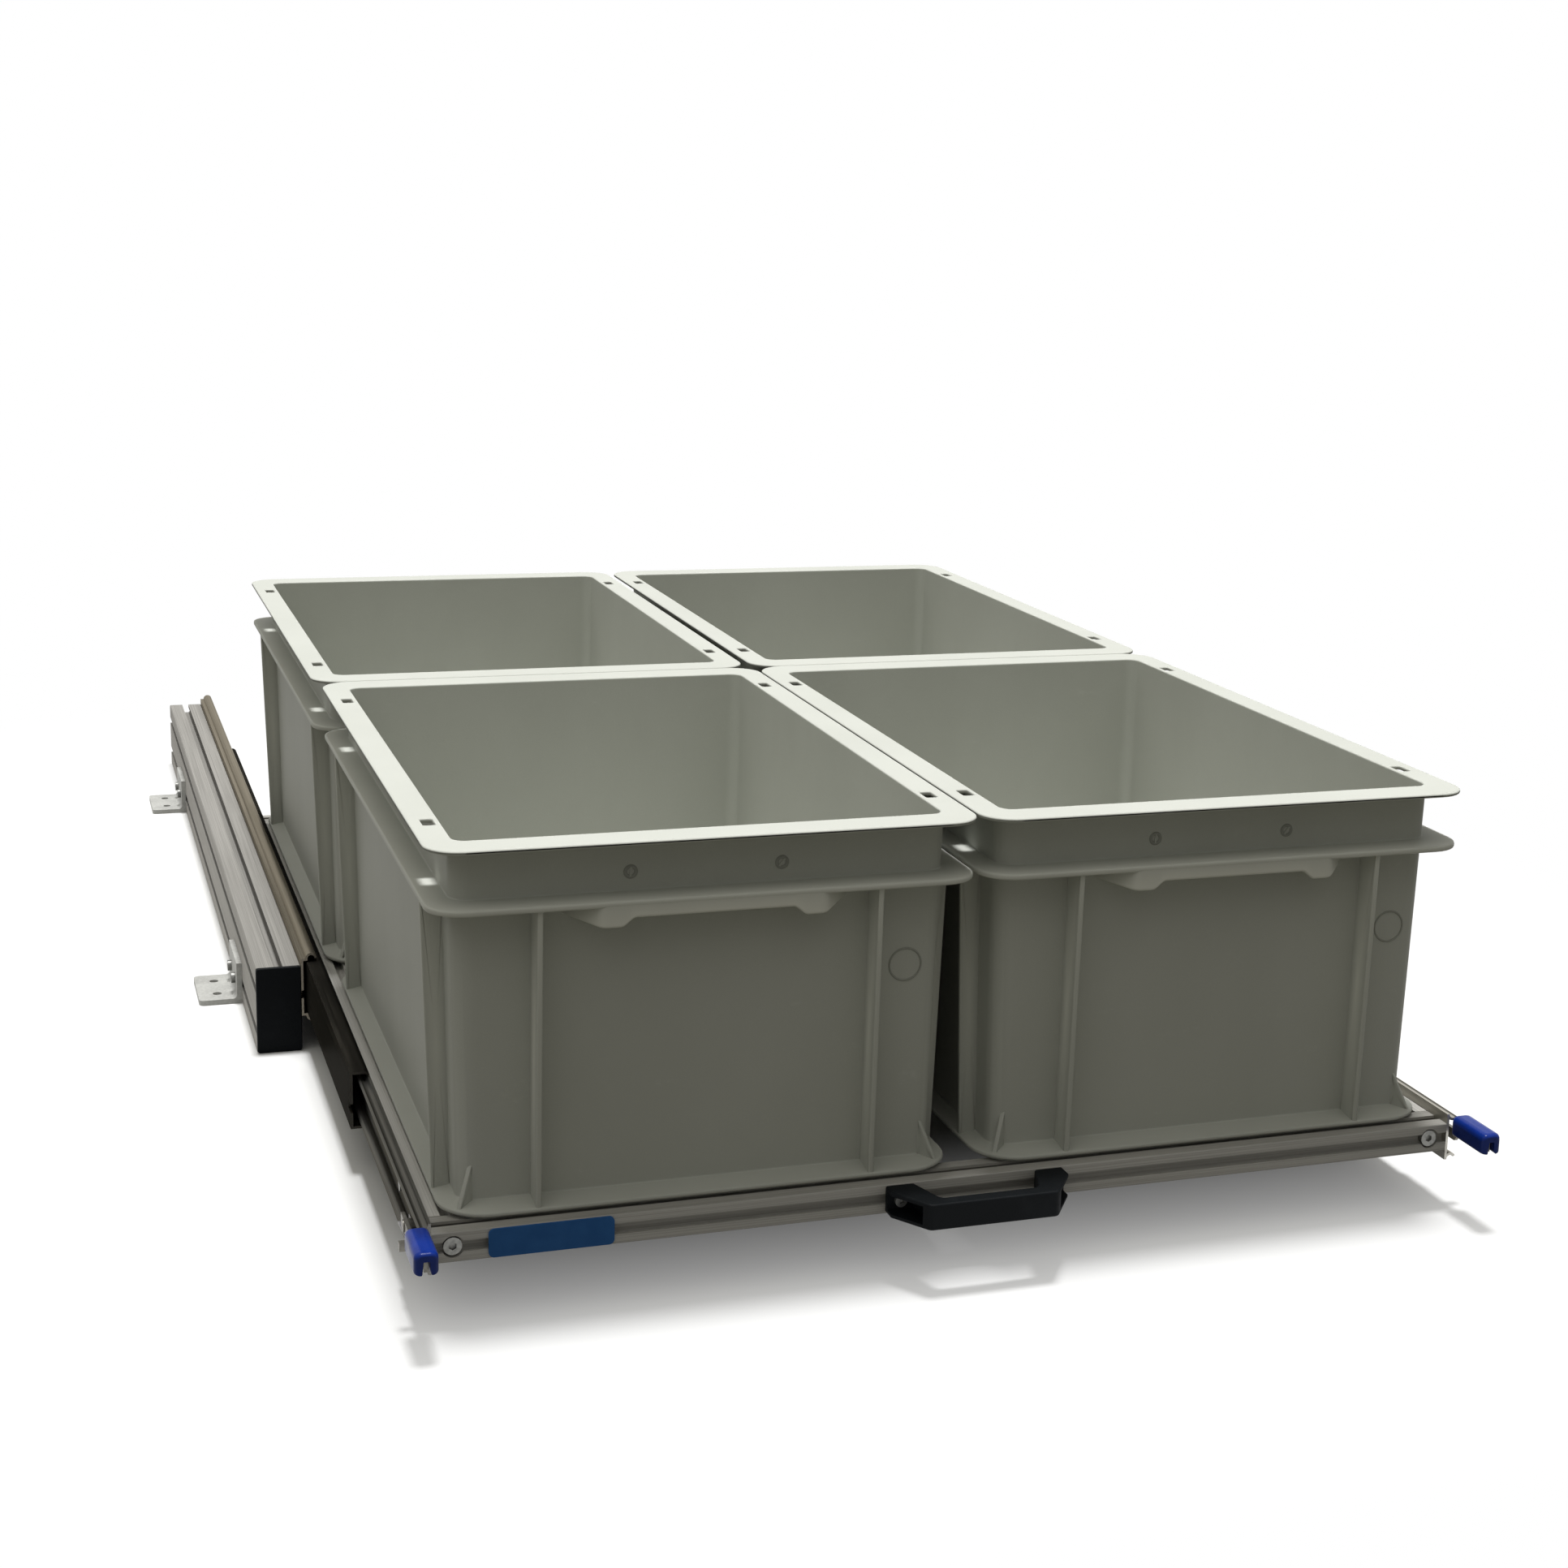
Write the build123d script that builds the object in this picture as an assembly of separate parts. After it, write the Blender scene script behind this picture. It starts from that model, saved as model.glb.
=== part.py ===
from build123d import *

import math
import os

# Pull-out drawer on telescopic slides, carrying four stacking bins in two rows.
# Millimetres. X runs to the right, Y to the back, Z up; the floor is Z = 0 and the
# origin lies under the middle of the whole unit as it stands with the drawer half out.

# Bins: rim size, walls and flanges
bin_width = 400.0
bin_length = 600.0
bin_height = 270.0
bin_gap = 2.0
bin_wall = 3.0
wall_lean = 1.0
wall_corner = 15.0
cavity_corner = 10.0
floor_thickness = 3.0
rim_width = 22.0
end_rim_width = 29.5
rim_thickness = 3.0
rim_corner = 26.0
collar_height = 42.0
flange_thickness = 4.5
flange_inset = 1.0
rear_left_nudge = 5.0

# Bins: foot, base skirt, ribs, corner fins, finger grips and rim holes
foot_inset = 15.0
skirt_inset = 10.0
skirt_corner = 36.0
skirt_lift = 3.0
skirt_edge = 3.0
skirt_rise = 2.5
rib_thickness = 4.0
rib_edge_inset = 4.0
end_rib_x = 123.0
side_rib_y = 233.0
fin_thickness = 3.5
fin_height = 34.0
grip_width = 160.0
grip_lip = 4.0
grip_drop = 8.0
grip_ear_drop = 14.0
grip_ear_width = 14.0
grip_ear_slope = 10.0
grip_wing_spread = 16.0
rim_hole_length = 18.0
rim_hole_width = 9.0
rim_hole_end_distance = 85.0
rim_hole_edge_distance = 13.7

# Fixed rails: slotted profile 40 wide and 80 high on the floor, capped at the front
rail_width = 40.0
rail_height = 80.0
rail_corner = 1.5
rail_slot_mouth = 8.0
rail_slot_lip = 4.0
rail_slot_chamber = 16.0
rail_slot_shoulder = 2.0
rail_slot_depth = 10.5
rail_slot_spacing = 40.0
rail_core_bore = 6.8
rail_core_window = 12.0
cap_thickness = 4.0
cap_corner = 3.0
cap_edge = 1.0
cap_peg_length = 10.0
peg_clearance = 0.1

# Angle brackets that hold the rails to the floor
bracket_size = 40.0
bracket_thickness = 5.0
bracket_length = 80.0
bracket_corner = 5.0
bracket_bend = 4.0
bracket_hole = 8.5
bracket_hole_spacing = 40.0
bracket_hole_reach = 22.0
front_bracket_distance = 190.0
rear_bracket_distance = 240.0
bracket_screw = 6.0
bracket_screw_hole = 6.6
bracket_screw_head = 10.5
bracket_screw_head_height = 3.6

# Drawer frame: slotted profile 30 wide and 22.5 high, with a double-width middle bar
frame_profile_width = 30.0
frame_profile_height = 22.5
cross_profile_width = 60.0
frame_corner = 1.0
frame_slot_mouth = 8.0
frame_slot_lip = 2.2
frame_slot_chamber = 14.0
frame_slot_shoulder = 1.4
frame_slot_depth = 6.2
frame_core_bore = 6.8
corner_screw = 6.6
corner_screw_head = 13.0
corner_screw_head_height = 5.0
corner_screw_recess = 16.0
corner_screw_hole = 8.4
corner_screw_bite = 22.0
socket_share = 0.46
socket_depth = 2.4

# Telescopic slides: three rolled steel sections running on balls in strip retainers
slide_thickness = 21.0
slide_height = 64.0
inner_slide_height = 38.0
slide_set_back = 2.0
slide_sheet = 2.0
slide_centre_z = 60.0
ball_diameter = 5.6
raceway_clearance = 0.3
outer_ball_depth = 9.0
middle_web_depth = 5.0
retainer_length = 560.0
retainer_sheet = 0.8
retainer_offset = 0.4
pocket_clearance = 0.15
retainer_finger = 1.5
retainer_back = 4.5
balls_per_strip = 4
slide_screw = 5.0
slide_screw_hole = 5.4
slide_screw_head = 9.5
slide_screw_head_height = 2.2
slide_screw_count = 4
slide_screw_end = 120.0
nut_length = 14.0
nut_clearance = 0.25

# Drawer position: share of the slides' length by which it stands pulled out
pull_out_share = 0.5

# Release levers: plastic grip on a steel strip that pivots on a stud in the inner slide
lever_reach = 48.0
lever_grip_gap = 2.0
lever_grip_width = 17.0
lever_grip_height = 16.0
lever_grip_raise = 11.0
lever_grip_corner = 4.5
lever_grip_edge = 3.5
lever_slot_width = 3.4
lever_slot_depth = 9.5
lever_strip = 3.0
lever_strip_height = 9.0
lever_strip_depth = 9.0
lever_tail = 14.0
lever_pivot_y = 45.0
lever_stud = 6.0
lever_stud_clearance = 0.05
lever_stud_spacer = 10.0
lever_stud_head = 9.0
lever_stud_head_height = 0.8
lever_side_play = 0.2
latch_tab_y = 11.0
latch_tab_length = 6.0
latch_tab_height = 6.0
latch_tab_gap = 0.4
latch_drop = 6.6
latch_play = 0.7
spring_sheet = 0.8
spring_foot_y = 76.0
spring_foot_length = 16.0
spring_foot_height = 5.0
spring_foot_drop = 13.0
spring_tip_y = 16.0
spring_tip_gap = 0.3

# Pull handle and bare plate on the front bar
handle_length = 140.0
handle_reach = 42.0
handle_height = 20.0
handle_bar = 12.0
handle_bar_length = 100.0
handle_foot_length = 22.0
handle_shoulder = 12.0
handle_wall = 3.0
handle_foot_thickness = 4.0
handle_corner = 5.0
handle_edge = 1.5
handle_hole_spacing = 120.0
handle_screw = 5.0
handle_screw_hole = 5.4
handle_screw_head = 9.0
handle_screw_head_height = 3.0
plate_length = 89.0
plate_height = 21.0
plate_thickness = 1.5
plate_corner = 4.0
plate_end_distance = 39.5

# Sizes and places that follow from the ones above
frame_width = 2 * bin_width + bin_gap
frame_length = 2 * bin_length + bin_gap
frame_half = frame_width / 2
frame_top = slide_centre_z + frame_profile_height / 2
slide_length = frame_length - slide_set_back
rail_length = slide_length
pull_out = pull_out_share * slide_length
rail_inner_x = -(frame_half + slide_thickness)
rail_middle_x = rail_inner_x - rail_width / 2
rail_outer_x = rail_inner_x - rail_width
rail_front_y = (pull_out + lever_reach - rail_length) / 2
drawer_front_y = rail_front_y - pull_out
middle_front_y = rail_front_y - pull_out / 2
drawer_middle_y = drawer_front_y + frame_length / 2
raceway = ball_diameter / 2 + raceway_clearance
outer_ball_height = slide_height / 2 - slide_sheet - raceway
inner_ball_height = outer_ball_height - 2 * raceway - slide_sheet
inner_ball_depth = slide_thickness - slide_sheet - raceway
overlap = 1.0
sides = {"left": 1, "right": -1}


def bar_along_y(section, front_y, length):
    """A bar whose section lies in X and Z and which runs back from front_y."""
    return Pos(0, front_y + length, 0) * extrude(Plane.XZ * section, length)


def bar_along_x(section, left_x, length):
    """A bar whose section lies in Y and Z and which runs right from left_x."""
    return Pos(left_x, 0, 0) * extrude(Plane.YZ * section, length)


def block(low, high):
    """A plain block between two opposite corners."""
    size = [top - bottom for bottom, top in zip(low, high)]
    return Pos(*low) * Box(*size, align=(Align.MIN, Align.MIN, Align.MIN))


def patch(low, high):
    """A flat rectangle between two opposite corners."""
    size = [top - bottom for bottom, top in zip(low, high)]
    return Pos(*low) * Rectangle(*size, align=(Align.MIN, Align.MIN))


def plate(width, length, corner, bottom, thickness):
    """A level plate with rounded corners, centred on the Z axis."""
    return extrude(Pos(0, 0, bottom) * RectangleRounded(width, length, corner), thickness)


def peg(start, direction, diameter, length):
    """A round peg from a point along a direction."""
    return extrude(Plane(origin=start, z_dir=direction) * Circle(diameter / 2), length)


def screw(seat, outward, shank, head, head_height, reach, socket=False):
    """A screw whose head stands on its seat and whose shank, at root diameter, goes in."""
    seat = Vector(*seat)
    outward = Vector(*outward)
    body = peg(seat, outward, head, head_height) + peg(seat, -outward, shank, reach)
    if socket:
        top = Plane(origin=seat + outward * head_height, z_dir=-outward)
        body -= extrude(top * RegularPolygon(head * socket_share / 2, 6), socket_depth)
    return body


def on_side(solid, sign):
    """A left-hand piece as it is, or its mirror image for the right."""
    return solid if sign > 0 else mirror(solid, about=Plane.YZ)


# Slotted aluminium profiles


def slot_void(mouth, lip, chamber, shoulder, depth):
    """Section of a T-slot: mouth on the X axis, chamber under the lips, floor below."""
    return Polygon(
        (-mouth / 2, overlap),
        (-mouth / 2, -lip),
        (-chamber / 2, -lip),
        (-chamber / 2, -lip - shoulder),
        (-mouth / 2, -depth),
        (mouth / 2, -depth),
        (chamber / 2, -lip - shoulder),
        (chamber / 2, -lip),
        (mouth / 2, -lip),
        (mouth / 2, overlap),
    )


def nut_section(mouth, lip, chamber, shoulder, depth):
    """Section of a T-nut drawn up under the lips of the same slot."""
    half = chamber / 2 - nut_clearance
    foot = mouth / 2 - nut_clearance
    floor = nut_clearance - depth
    return Polygon(
        (-half, -lip),
        (-half, -lip - shoulder),
        (-foot, floor),
        (foot, floor),
        (half, -lip - shoulder),
        (half, -lip),
    )


rail_slot = (rail_slot_mouth, rail_slot_lip, rail_slot_chamber, rail_slot_shoulder, rail_slot_depth)
frame_slot = (frame_slot_mouth, frame_slot_lip, frame_slot_chamber, frame_slot_shoulder, frame_slot_depth)


def rail_section():
    """Fixed rail: one slot above and below, two on each side, bores and a square core."""
    section = RectangleRounded(rail_width, rail_height, rail_corner)
    void = slot_void(*rail_slot)
    for turn, reach in ((0, rail_height / 2), (180, rail_height / 2)):
        section -= Rot(0, 0, turn) * Pos(0, reach) * void
    for row in (-rail_slot_spacing / 2, rail_slot_spacing / 2):
        for turn in (90, -90):
            section -= Pos(0, row) * Rot(0, 0, turn) * Pos(0, rail_width / 2) * void
        section -= Pos(0, row) * Circle(rail_core_bore / 2)
    return section - Rectangle(rail_core_window, rail_core_window)


def frame_section(width):
    """Drawer-frame bar: slots all round and a bore behind each slot of the top face."""
    section = RectangleRounded(width, frame_profile_height, frame_corner)
    void = slot_void(*frame_slot)
    for turn in (90, -90):
        section -= Rot(0, 0, turn) * Pos(0, width / 2) * void
    for place in bore_places(width):
        for turn in (0, 180):
            section -= Pos(place, 0) * Rot(0, 0, turn) * Pos(0, frame_profile_height / 2) * void
        section -= Pos(place, 0) * Circle(frame_core_bore / 2)
    return section


def bore_places(width):
    """Where the bores of a frame bar lie across its width."""
    count = max(1, round(width / frame_profile_width))
    return [(step - (count - 1) / 2) * width / count for step in range(count)]


def slot_nut(section, place, along, outward, bore):
    """A T-nut in a slot that runs along one axis and opens outward along another."""
    seat = Plane(origin=place, x_dir=Vector(*outward).cross(Vector(*along)), z_dir=along)
    body = extrude(seat * section, nut_length / 2, both=True)
    return body - peg(Vector(*place) - Vector(*outward) * nut_length, outward, bore, 2 * nut_length)


# Fixed rails with caps, brackets and fasteners


def fixed_rail():
    """One floor rail behind its end cap."""
    section = Pos(rail_middle_x, rail_height / 2) * rail_section()
    return bar_along_y(section, rail_front_y + cap_thickness, rail_length - cap_thickness)


def rail_cap():
    """Moulded cap over the rail's front end, with a peg in each bore."""
    face = Pos(rail_middle_x, rail_height / 2) * RectangleRounded(rail_width, rail_height, cap_corner)
    cap = bar_along_y(face, rail_front_y, cap_thickness)
    cap = fillet(cap.faces().sort_by(Axis.Y)[0].edges(), cap_edge)
    for row in (-rail_slot_spacing / 2, rail_slot_spacing / 2):
        start = (rail_middle_x, rail_front_y + cap_thickness, rail_height / 2 + row)
        cap += peg(start, (0, 1, 0), rail_core_bore - 2 * peg_clearance, cap_peg_length)
    return cap


bracket_places = {
    "front": rail_front_y + front_bracket_distance,
    "rear": rail_front_y + rail_length - rear_bracket_distance,
}
bracket_steps = (-bracket_hole_spacing / 2, bracket_hole_spacing / 2)
low_slot_z = (rail_height - rail_slot_spacing) / 2


def floor_bracket(middle_y):
    """Angle bracket: foot on the floor, leg against the rail, two holes in each."""
    foot = patch((rail_outer_x - bracket_size, 0), (rail_outer_x, bracket_thickness))
    leg = patch((rail_outer_x - bracket_thickness, 0), (rail_outer_x, bracket_size))
    bend_x = rail_outer_x - bracket_thickness
    corner = patch((bend_x - bracket_bend, bracket_thickness), (bend_x, bracket_thickness + bracket_bend))
    corner -= Pos(bend_x - bracket_bend, bracket_thickness + bracket_bend) * Circle(bracket_bend)
    bracket = bar_along_y(foot + leg + corner, middle_y - bracket_length / 2, bracket_length)
    outer_edges = bracket.edges().filter_by(Axis.Z).group_by(Axis.X)[0]
    bracket = fillet(outer_edges, bracket_corner)
    for step in bracket_steps:
        hole_x = rail_outer_x - bracket_hole_reach
        bracket -= peg((hole_x, middle_y + step, -overlap), (0, 0, 1), bracket_hole, bracket_size)
        start = (rail_outer_x + overlap, middle_y + step, low_slot_z)
        bracket -= peg(start, (-1, 0, 0), bracket_screw_hole, bracket_size)
    return bracket


def bracket_fasteners():
    """The screws through the bracket legs and the nuts they hold in the rail's lower slot."""
    screws = []
    nuts = []
    section = nut_section(*rail_slot)
    reach = bracket_thickness + rail_slot_depth - 2 * nut_clearance
    for middle_y in bracket_places.values():
        for step in bracket_steps:
            seat = (rail_outer_x - bracket_thickness, middle_y + step, low_slot_z)
            size = (bracket_screw, bracket_screw_head, bracket_screw_head_height)
            screws.append(screw(seat, (-1, 0, 0), *size, reach, socket=True))
            place = (rail_outer_x, middle_y + step, low_slot_z)
            nuts.append(slot_nut(section, place, (0, 1, 0), (-1, 0, 0), bracket_screw + 2 * peg_clearance))
    return screws, nuts


# Telescopic slides, with depth counted from the rail's face and height from the middle


def raceway_sheet(depth, height, start, sweep):
    """Section of the sheet rolled round a ball, between two angles about its centre."""
    inside = CenterArc((depth, height), raceway, start, sweep)
    outside = CenterArc((depth, height), raceway + slide_sheet, start, sweep)
    ends = [Line(inside @ 0, outside @ 0), Line(inside @ 1, outside @ 1)]
    return Sketch() + make_face([inside, outside] + ends)


def both_halves(upper):
    """A slide's whole section from its upper half."""
    return upper + mirror(upper, about=Plane.XZ)


def outer_slide_section():
    """Outer member: web on the rail, a ledge, and a hump over the ball."""
    web = patch((0, 0), (slide_sheet, outer_ball_height))
    ledge = patch((0, outer_ball_height - slide_sheet), (outer_ball_depth - raceway, outer_ball_height))
    return both_halves(web + ledge + raceway_sheet(outer_ball_depth, outer_ball_height, 0, 180))


def middle_slide_section():
    """Middle member: flange under the outer ball, rolled down over the inner ball."""
    top = outer_ball_height - raceway
    web = patch((middle_web_depth, 0), (middle_web_depth + slide_sheet, top))
    flange = patch((middle_web_depth, top - slide_sheet), (inner_ball_depth, top))
    return both_halves(web + flange + raceway_sheet(inner_ball_depth, inner_ball_height, 30, 60))


def inner_slide_section():
    """Inner member: web on the drawer frame and a trough that carries the inner ball."""
    web = patch((slide_thickness - slide_sheet, 0), (slide_thickness, inner_slide_height / 2))
    return both_halves(web + raceway_sheet(inner_ball_depth, inner_ball_height, 210, 150))


def slide_member(section, front_y):
    """A full-length slide member in its place beside the left rail."""
    return bar_along_y(Pos(rail_inner_x, slide_centre_z) * section, front_y, slide_length)


def latch_notch(web_depth, front_y):
    """Hooked notch at the front of a web: the latch tab enters low and rises behind a catch."""
    low_x = rail_inner_x + web_depth - overlap
    high_x = rail_inner_x + web_depth + slide_sheet + overlap
    bottom = slide_centre_z - latch_tab_height / 2 - latch_drop - latch_play
    entry_top = slide_centre_z + latch_tab_height / 2 - latch_drop + latch_play
    pocket_top = slide_centre_z + latch_tab_height / 2 + latch_play
    pocket_front = front_y + latch_tab_y - latch_tab_length / 2 - latch_play
    pocket_back = front_y + latch_tab_y + latch_tab_length / 2 + latch_play
    entry = block((low_x, front_y - overlap, bottom), (high_x, pocket_back, entry_top))
    return entry + block((low_x, pocket_front, bottom), (high_x, pocket_back, pocket_top))


def slide_screw_places(front_y):
    """Where the screws of a slide member stand along its length."""
    pitch = (slide_length - 2 * slide_screw_end) / (slide_screw_count - 1)
    return [front_y + slide_screw_end + step * pitch for step in range(slide_screw_count)]


def outer_slide():
    """Fixed member, screwed to the rail's upper slot."""
    member = slide_member(outer_slide_section(), rail_front_y) - latch_notch(0, rail_front_y)
    for place in slide_screw_places(rail_front_y):
        start = (rail_inner_x - overlap, place, slide_centre_z)
        member -= peg(start, (1, 0, 0), slide_screw_hole, slide_sheet + 2 * overlap)
    return member


def middle_slide():
    """Member that runs half as far as the drawer."""
    member = slide_member(middle_slide_section(), middle_front_y)
    return member - latch_notch(middle_web_depth, middle_front_y)


def inner_slide():
    """Moving member, screwed to the outer slot of the drawer frame."""
    member = slide_member(inner_slide_section(), drawer_front_y)
    for place in slide_screw_places(drawer_front_y):
        start = (-frame_half + overlap, place, slide_centre_z)
        member -= peg(start, (-1, 0, 0), slide_screw_hole, slide_sheet + 2 * overlap)
    return member


def slide_fasteners(front_y, face_x, outward, slot):
    """Low-headed screws through a slide's web and the nuts behind them."""
    screws = []
    nuts = []
    section = nut_section(*slot)
    reach = slide_sheet + slot[4] - 2 * nut_clearance
    for place in slide_screw_places(front_y):
        seat = (face_x + outward * slide_sheet, place, slide_centre_z)
        size = (slide_screw, slide_screw_head, slide_screw_head_height)
        screws.append(screw(seat, (outward, 0, 0), *size, reach))
        nut_bore = slide_screw + 2 * peg_clearance
        nuts.append(slot_nut(section, (face_x, place, slide_centre_z), (0, 1, 0), (outward, 0, 0), nut_bore))
    return screws, nuts


def ball_retainer(depth, height, shift, back, front_y):
    """Strips above and below that space the balls, and the balls in their pockets."""
    strips = []
    balls = []
    pitch = retainer_length / balls_per_strip
    low_x, high_x = sorted((depth - back * retainer_finger, depth + back * retainer_back))
    for sign in (1, -1):
        low_z, high_z = sorted((sign * (height + shift), sign * (height + shift + retainer_sheet)))
        strip = block(
            (rail_inner_x + low_x, front_y, slide_centre_z + low_z),
            (rail_inner_x + high_x, front_y + retainer_length, slide_centre_z + high_z),
        )
        for step in range(balls_per_strip):
            centre = (rail_inner_x + depth, front_y + (step + 0.5) * pitch, slide_centre_z + sign * height)
            start = Vector(*centre) - Vector(0, 0, ball_diameter)
            strip -= peg(start, (0, 0, 1), ball_diameter + 2 * pocket_clearance, 2 * ball_diameter)
            balls.append(Pos(*centre) * Sphere(ball_diameter / 2))
        strips.append(strip)
    return strips, balls


# Drawer frame


def cross_bar(front_y, width, left_x):
    """A frame bar across the drawer, from left_x to its mirror place."""
    section = Pos(front_y + width / 2, slide_centre_z) * frame_section(width)
    return bar_along_x(section, left_x, -2 * left_x)


corner_bore_x = frame_half - frame_profile_width / 2
side_front_y = drawer_front_y + frame_profile_width
side_length = frame_length - 2 * frame_profile_width
drawer_rear_y = drawer_front_y + frame_length


def screw_way(seat_face, inward, depth):
    """Recess for a screw head from an outer face, and the clearance hole behind it."""
    return peg(seat_face, inward, corner_screw_recess, frame_slot_depth) + peg(
        seat_face, inward, corner_screw_hole, depth
    )


def end_bar(front_y, face_y, inward):
    """Front or rear bar, which covers the ends of the side bars."""
    bar = cross_bar(front_y, frame_profile_width, -frame_half)
    for x in (-corner_bore_x, corner_bore_x):
        bar -= screw_way((x, face_y, slide_centre_z), (0, inward, 0), frame_profile_width)
    return bar


def side_bar():
    """Left bar, between the end bars, with screw ways into the middle bar."""
    section = Pos(-corner_bore_x, slide_centre_z) * frame_section(frame_profile_width)
    bar = bar_along_y(section, side_front_y, side_length)
    for step in bore_places(cross_profile_width):
        face = (-frame_half, drawer_middle_y + step, slide_centre_z)
        bar -= screw_way(face, (1, 0, 0), frame_profile_width)
    return bar


def frame_screws():
    """Socket screws through the end bars and side bars into the bores of the next bar."""
    size = (corner_screw, corner_screw_head, corner_screw_head_height)
    reach = frame_profile_width - frame_slot_depth + corner_screw_bite
    seat_y = drawer_front_y + frame_slot_depth
    back_seat_y = drawer_rear_y - frame_slot_depth
    seat_x = -frame_half + frame_slot_depth
    corner = []
    middle = []
    for x in (-corner_bore_x, corner_bore_x):
        corner.append(screw((x, seat_y, slide_centre_z), (0, -1, 0), *size, reach, socket=True))
        corner.append(screw((x, back_seat_y, slide_centre_z), (0, 1, 0), *size, reach, socket=True))
    for step in bore_places(cross_profile_width):
        left = screw((seat_x, drawer_middle_y + step, slide_centre_z), (-1, 0, 0), *size, reach)
        middle += [left, mirror(left, about=Plane.YZ)]
    return corner, middle


# Release levers


lever_grip_front = drawer_front_y - lever_reach
lever_grip_back = drawer_front_y - lever_grip_gap
lever_low_x = rail_inner_x + lever_strip_depth
lever_middle_x = lever_low_x + lever_strip / 2
lever_grip_bottom = slide_centre_z + lever_grip_raise - lever_grip_height / 2


def lever_grip():
    """Moulded finger grip, slotted underneath to push over the steel strip."""
    low_x = lever_middle_x - lever_grip_width / 2
    top = lever_grip_bottom + lever_grip_height
    grip = block(
        (low_x, lever_grip_front, lever_grip_bottom), (low_x + lever_grip_width, lever_grip_back, top)
    )
    grip = fillet(grip.edges().filter_by(Axis.Z), lever_grip_corner)
    grip = fillet(grip.faces().sort_by(Axis.Z)[-1].edges(), lever_grip_edge)
    half_slot = lever_slot_width / 2
    return grip - block(
        (lever_middle_x - half_slot, lever_grip_front - overlap, lever_grip_bottom - overlap),
        (lever_middle_x + half_slot, lever_grip_back + overlap, lever_grip_bottom + lever_slot_depth),
    )


def lever_strip_plate():
    """Steel strip from the grip back past the pivot, with the latch tab bent sideways."""
    half = lever_strip_height / 2
    slack = (lever_slot_width - lever_strip) / 2
    low = lever_grip_raise - lever_grip_height / 2 + slack
    high = low + lever_strip_height - slack
    start = slack - lever_reach + lever_grip_corner
    end = lever_pivot_y + lever_tail
    outline = Polygon(
        (start, low), (-2 * lever_grip_gap, low), (lever_grip_gap, -half), (end, -half),
        (end, half), (lever_grip_gap, half), (-2 * lever_grip_gap, high), (start, high),
    )
    strip = bar_along_x(Pos(drawer_front_y, slide_centre_z) * outline, lever_low_x, lever_strip)
    pivot = (lever_low_x - overlap, drawer_front_y + lever_pivot_y, slide_centre_z)
    strip -= peg(pivot, (1, 0, 0), lever_stud + 2 * lever_stud_clearance, lever_strip + 2 * overlap)
    tab_y = drawer_front_y + latch_tab_y
    return strip + block(
        (rail_inner_x + latch_tab_gap, tab_y - latch_tab_length / 2, slide_centre_z - latch_tab_height / 2),
        (lever_low_x + overlap, tab_y + latch_tab_length / 2, slide_centre_z + latch_tab_height / 2),
    )


def lever_pivot_stud():
    """Shouldered stud on the inner slide's web; its head keeps the strip on."""
    web_x = -frame_half - slide_sheet
    shoulder_x = lever_low_x + lever_strip + lever_side_play
    head_x = lever_low_x - lever_side_play
    place = (drawer_front_y + lever_pivot_y, slide_centre_z)
    stud = peg((web_x, *place), (-1, 0, 0), lever_stud_spacer, web_x - shoulder_x)
    stud += peg((shoulder_x, *place), (-1, 0, 0), lever_stud, shoulder_x - head_x)
    return stud + peg((head_x, *place), (-1, 0, 0), lever_stud_head, lever_stud_head_height)


def lever_spring():
    """Leaf spring on the inner slide's web, lifting the strip from below."""
    web_x = -frame_half - slide_sheet
    tip = -lever_strip_height / 2 - spring_tip_gap
    foot_low = -spring_foot_drop
    foot_top = foot_low + spring_foot_height
    outline = Polygon(
        (spring_tip_y, tip - spring_sheet), (spring_foot_y, foot_top - 3 * spring_sheet),
        (spring_foot_y, foot_top - 2 * spring_sheet), (spring_tip_y, tip),
    )
    leaf_width = web_x - spring_sheet / 2 - lever_low_x
    leaf = bar_along_x(Pos(drawer_front_y, slide_centre_z) * outline, lever_low_x, leaf_width)
    foot_y = drawer_front_y + spring_foot_y - spring_foot_length / 2
    return leaf + block(
        (web_x - spring_sheet, foot_y, slide_centre_z + foot_low),
        (web_x, foot_y + spring_foot_length, slide_centre_z + foot_top),
    )


# Pull handle and bare plate


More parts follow.
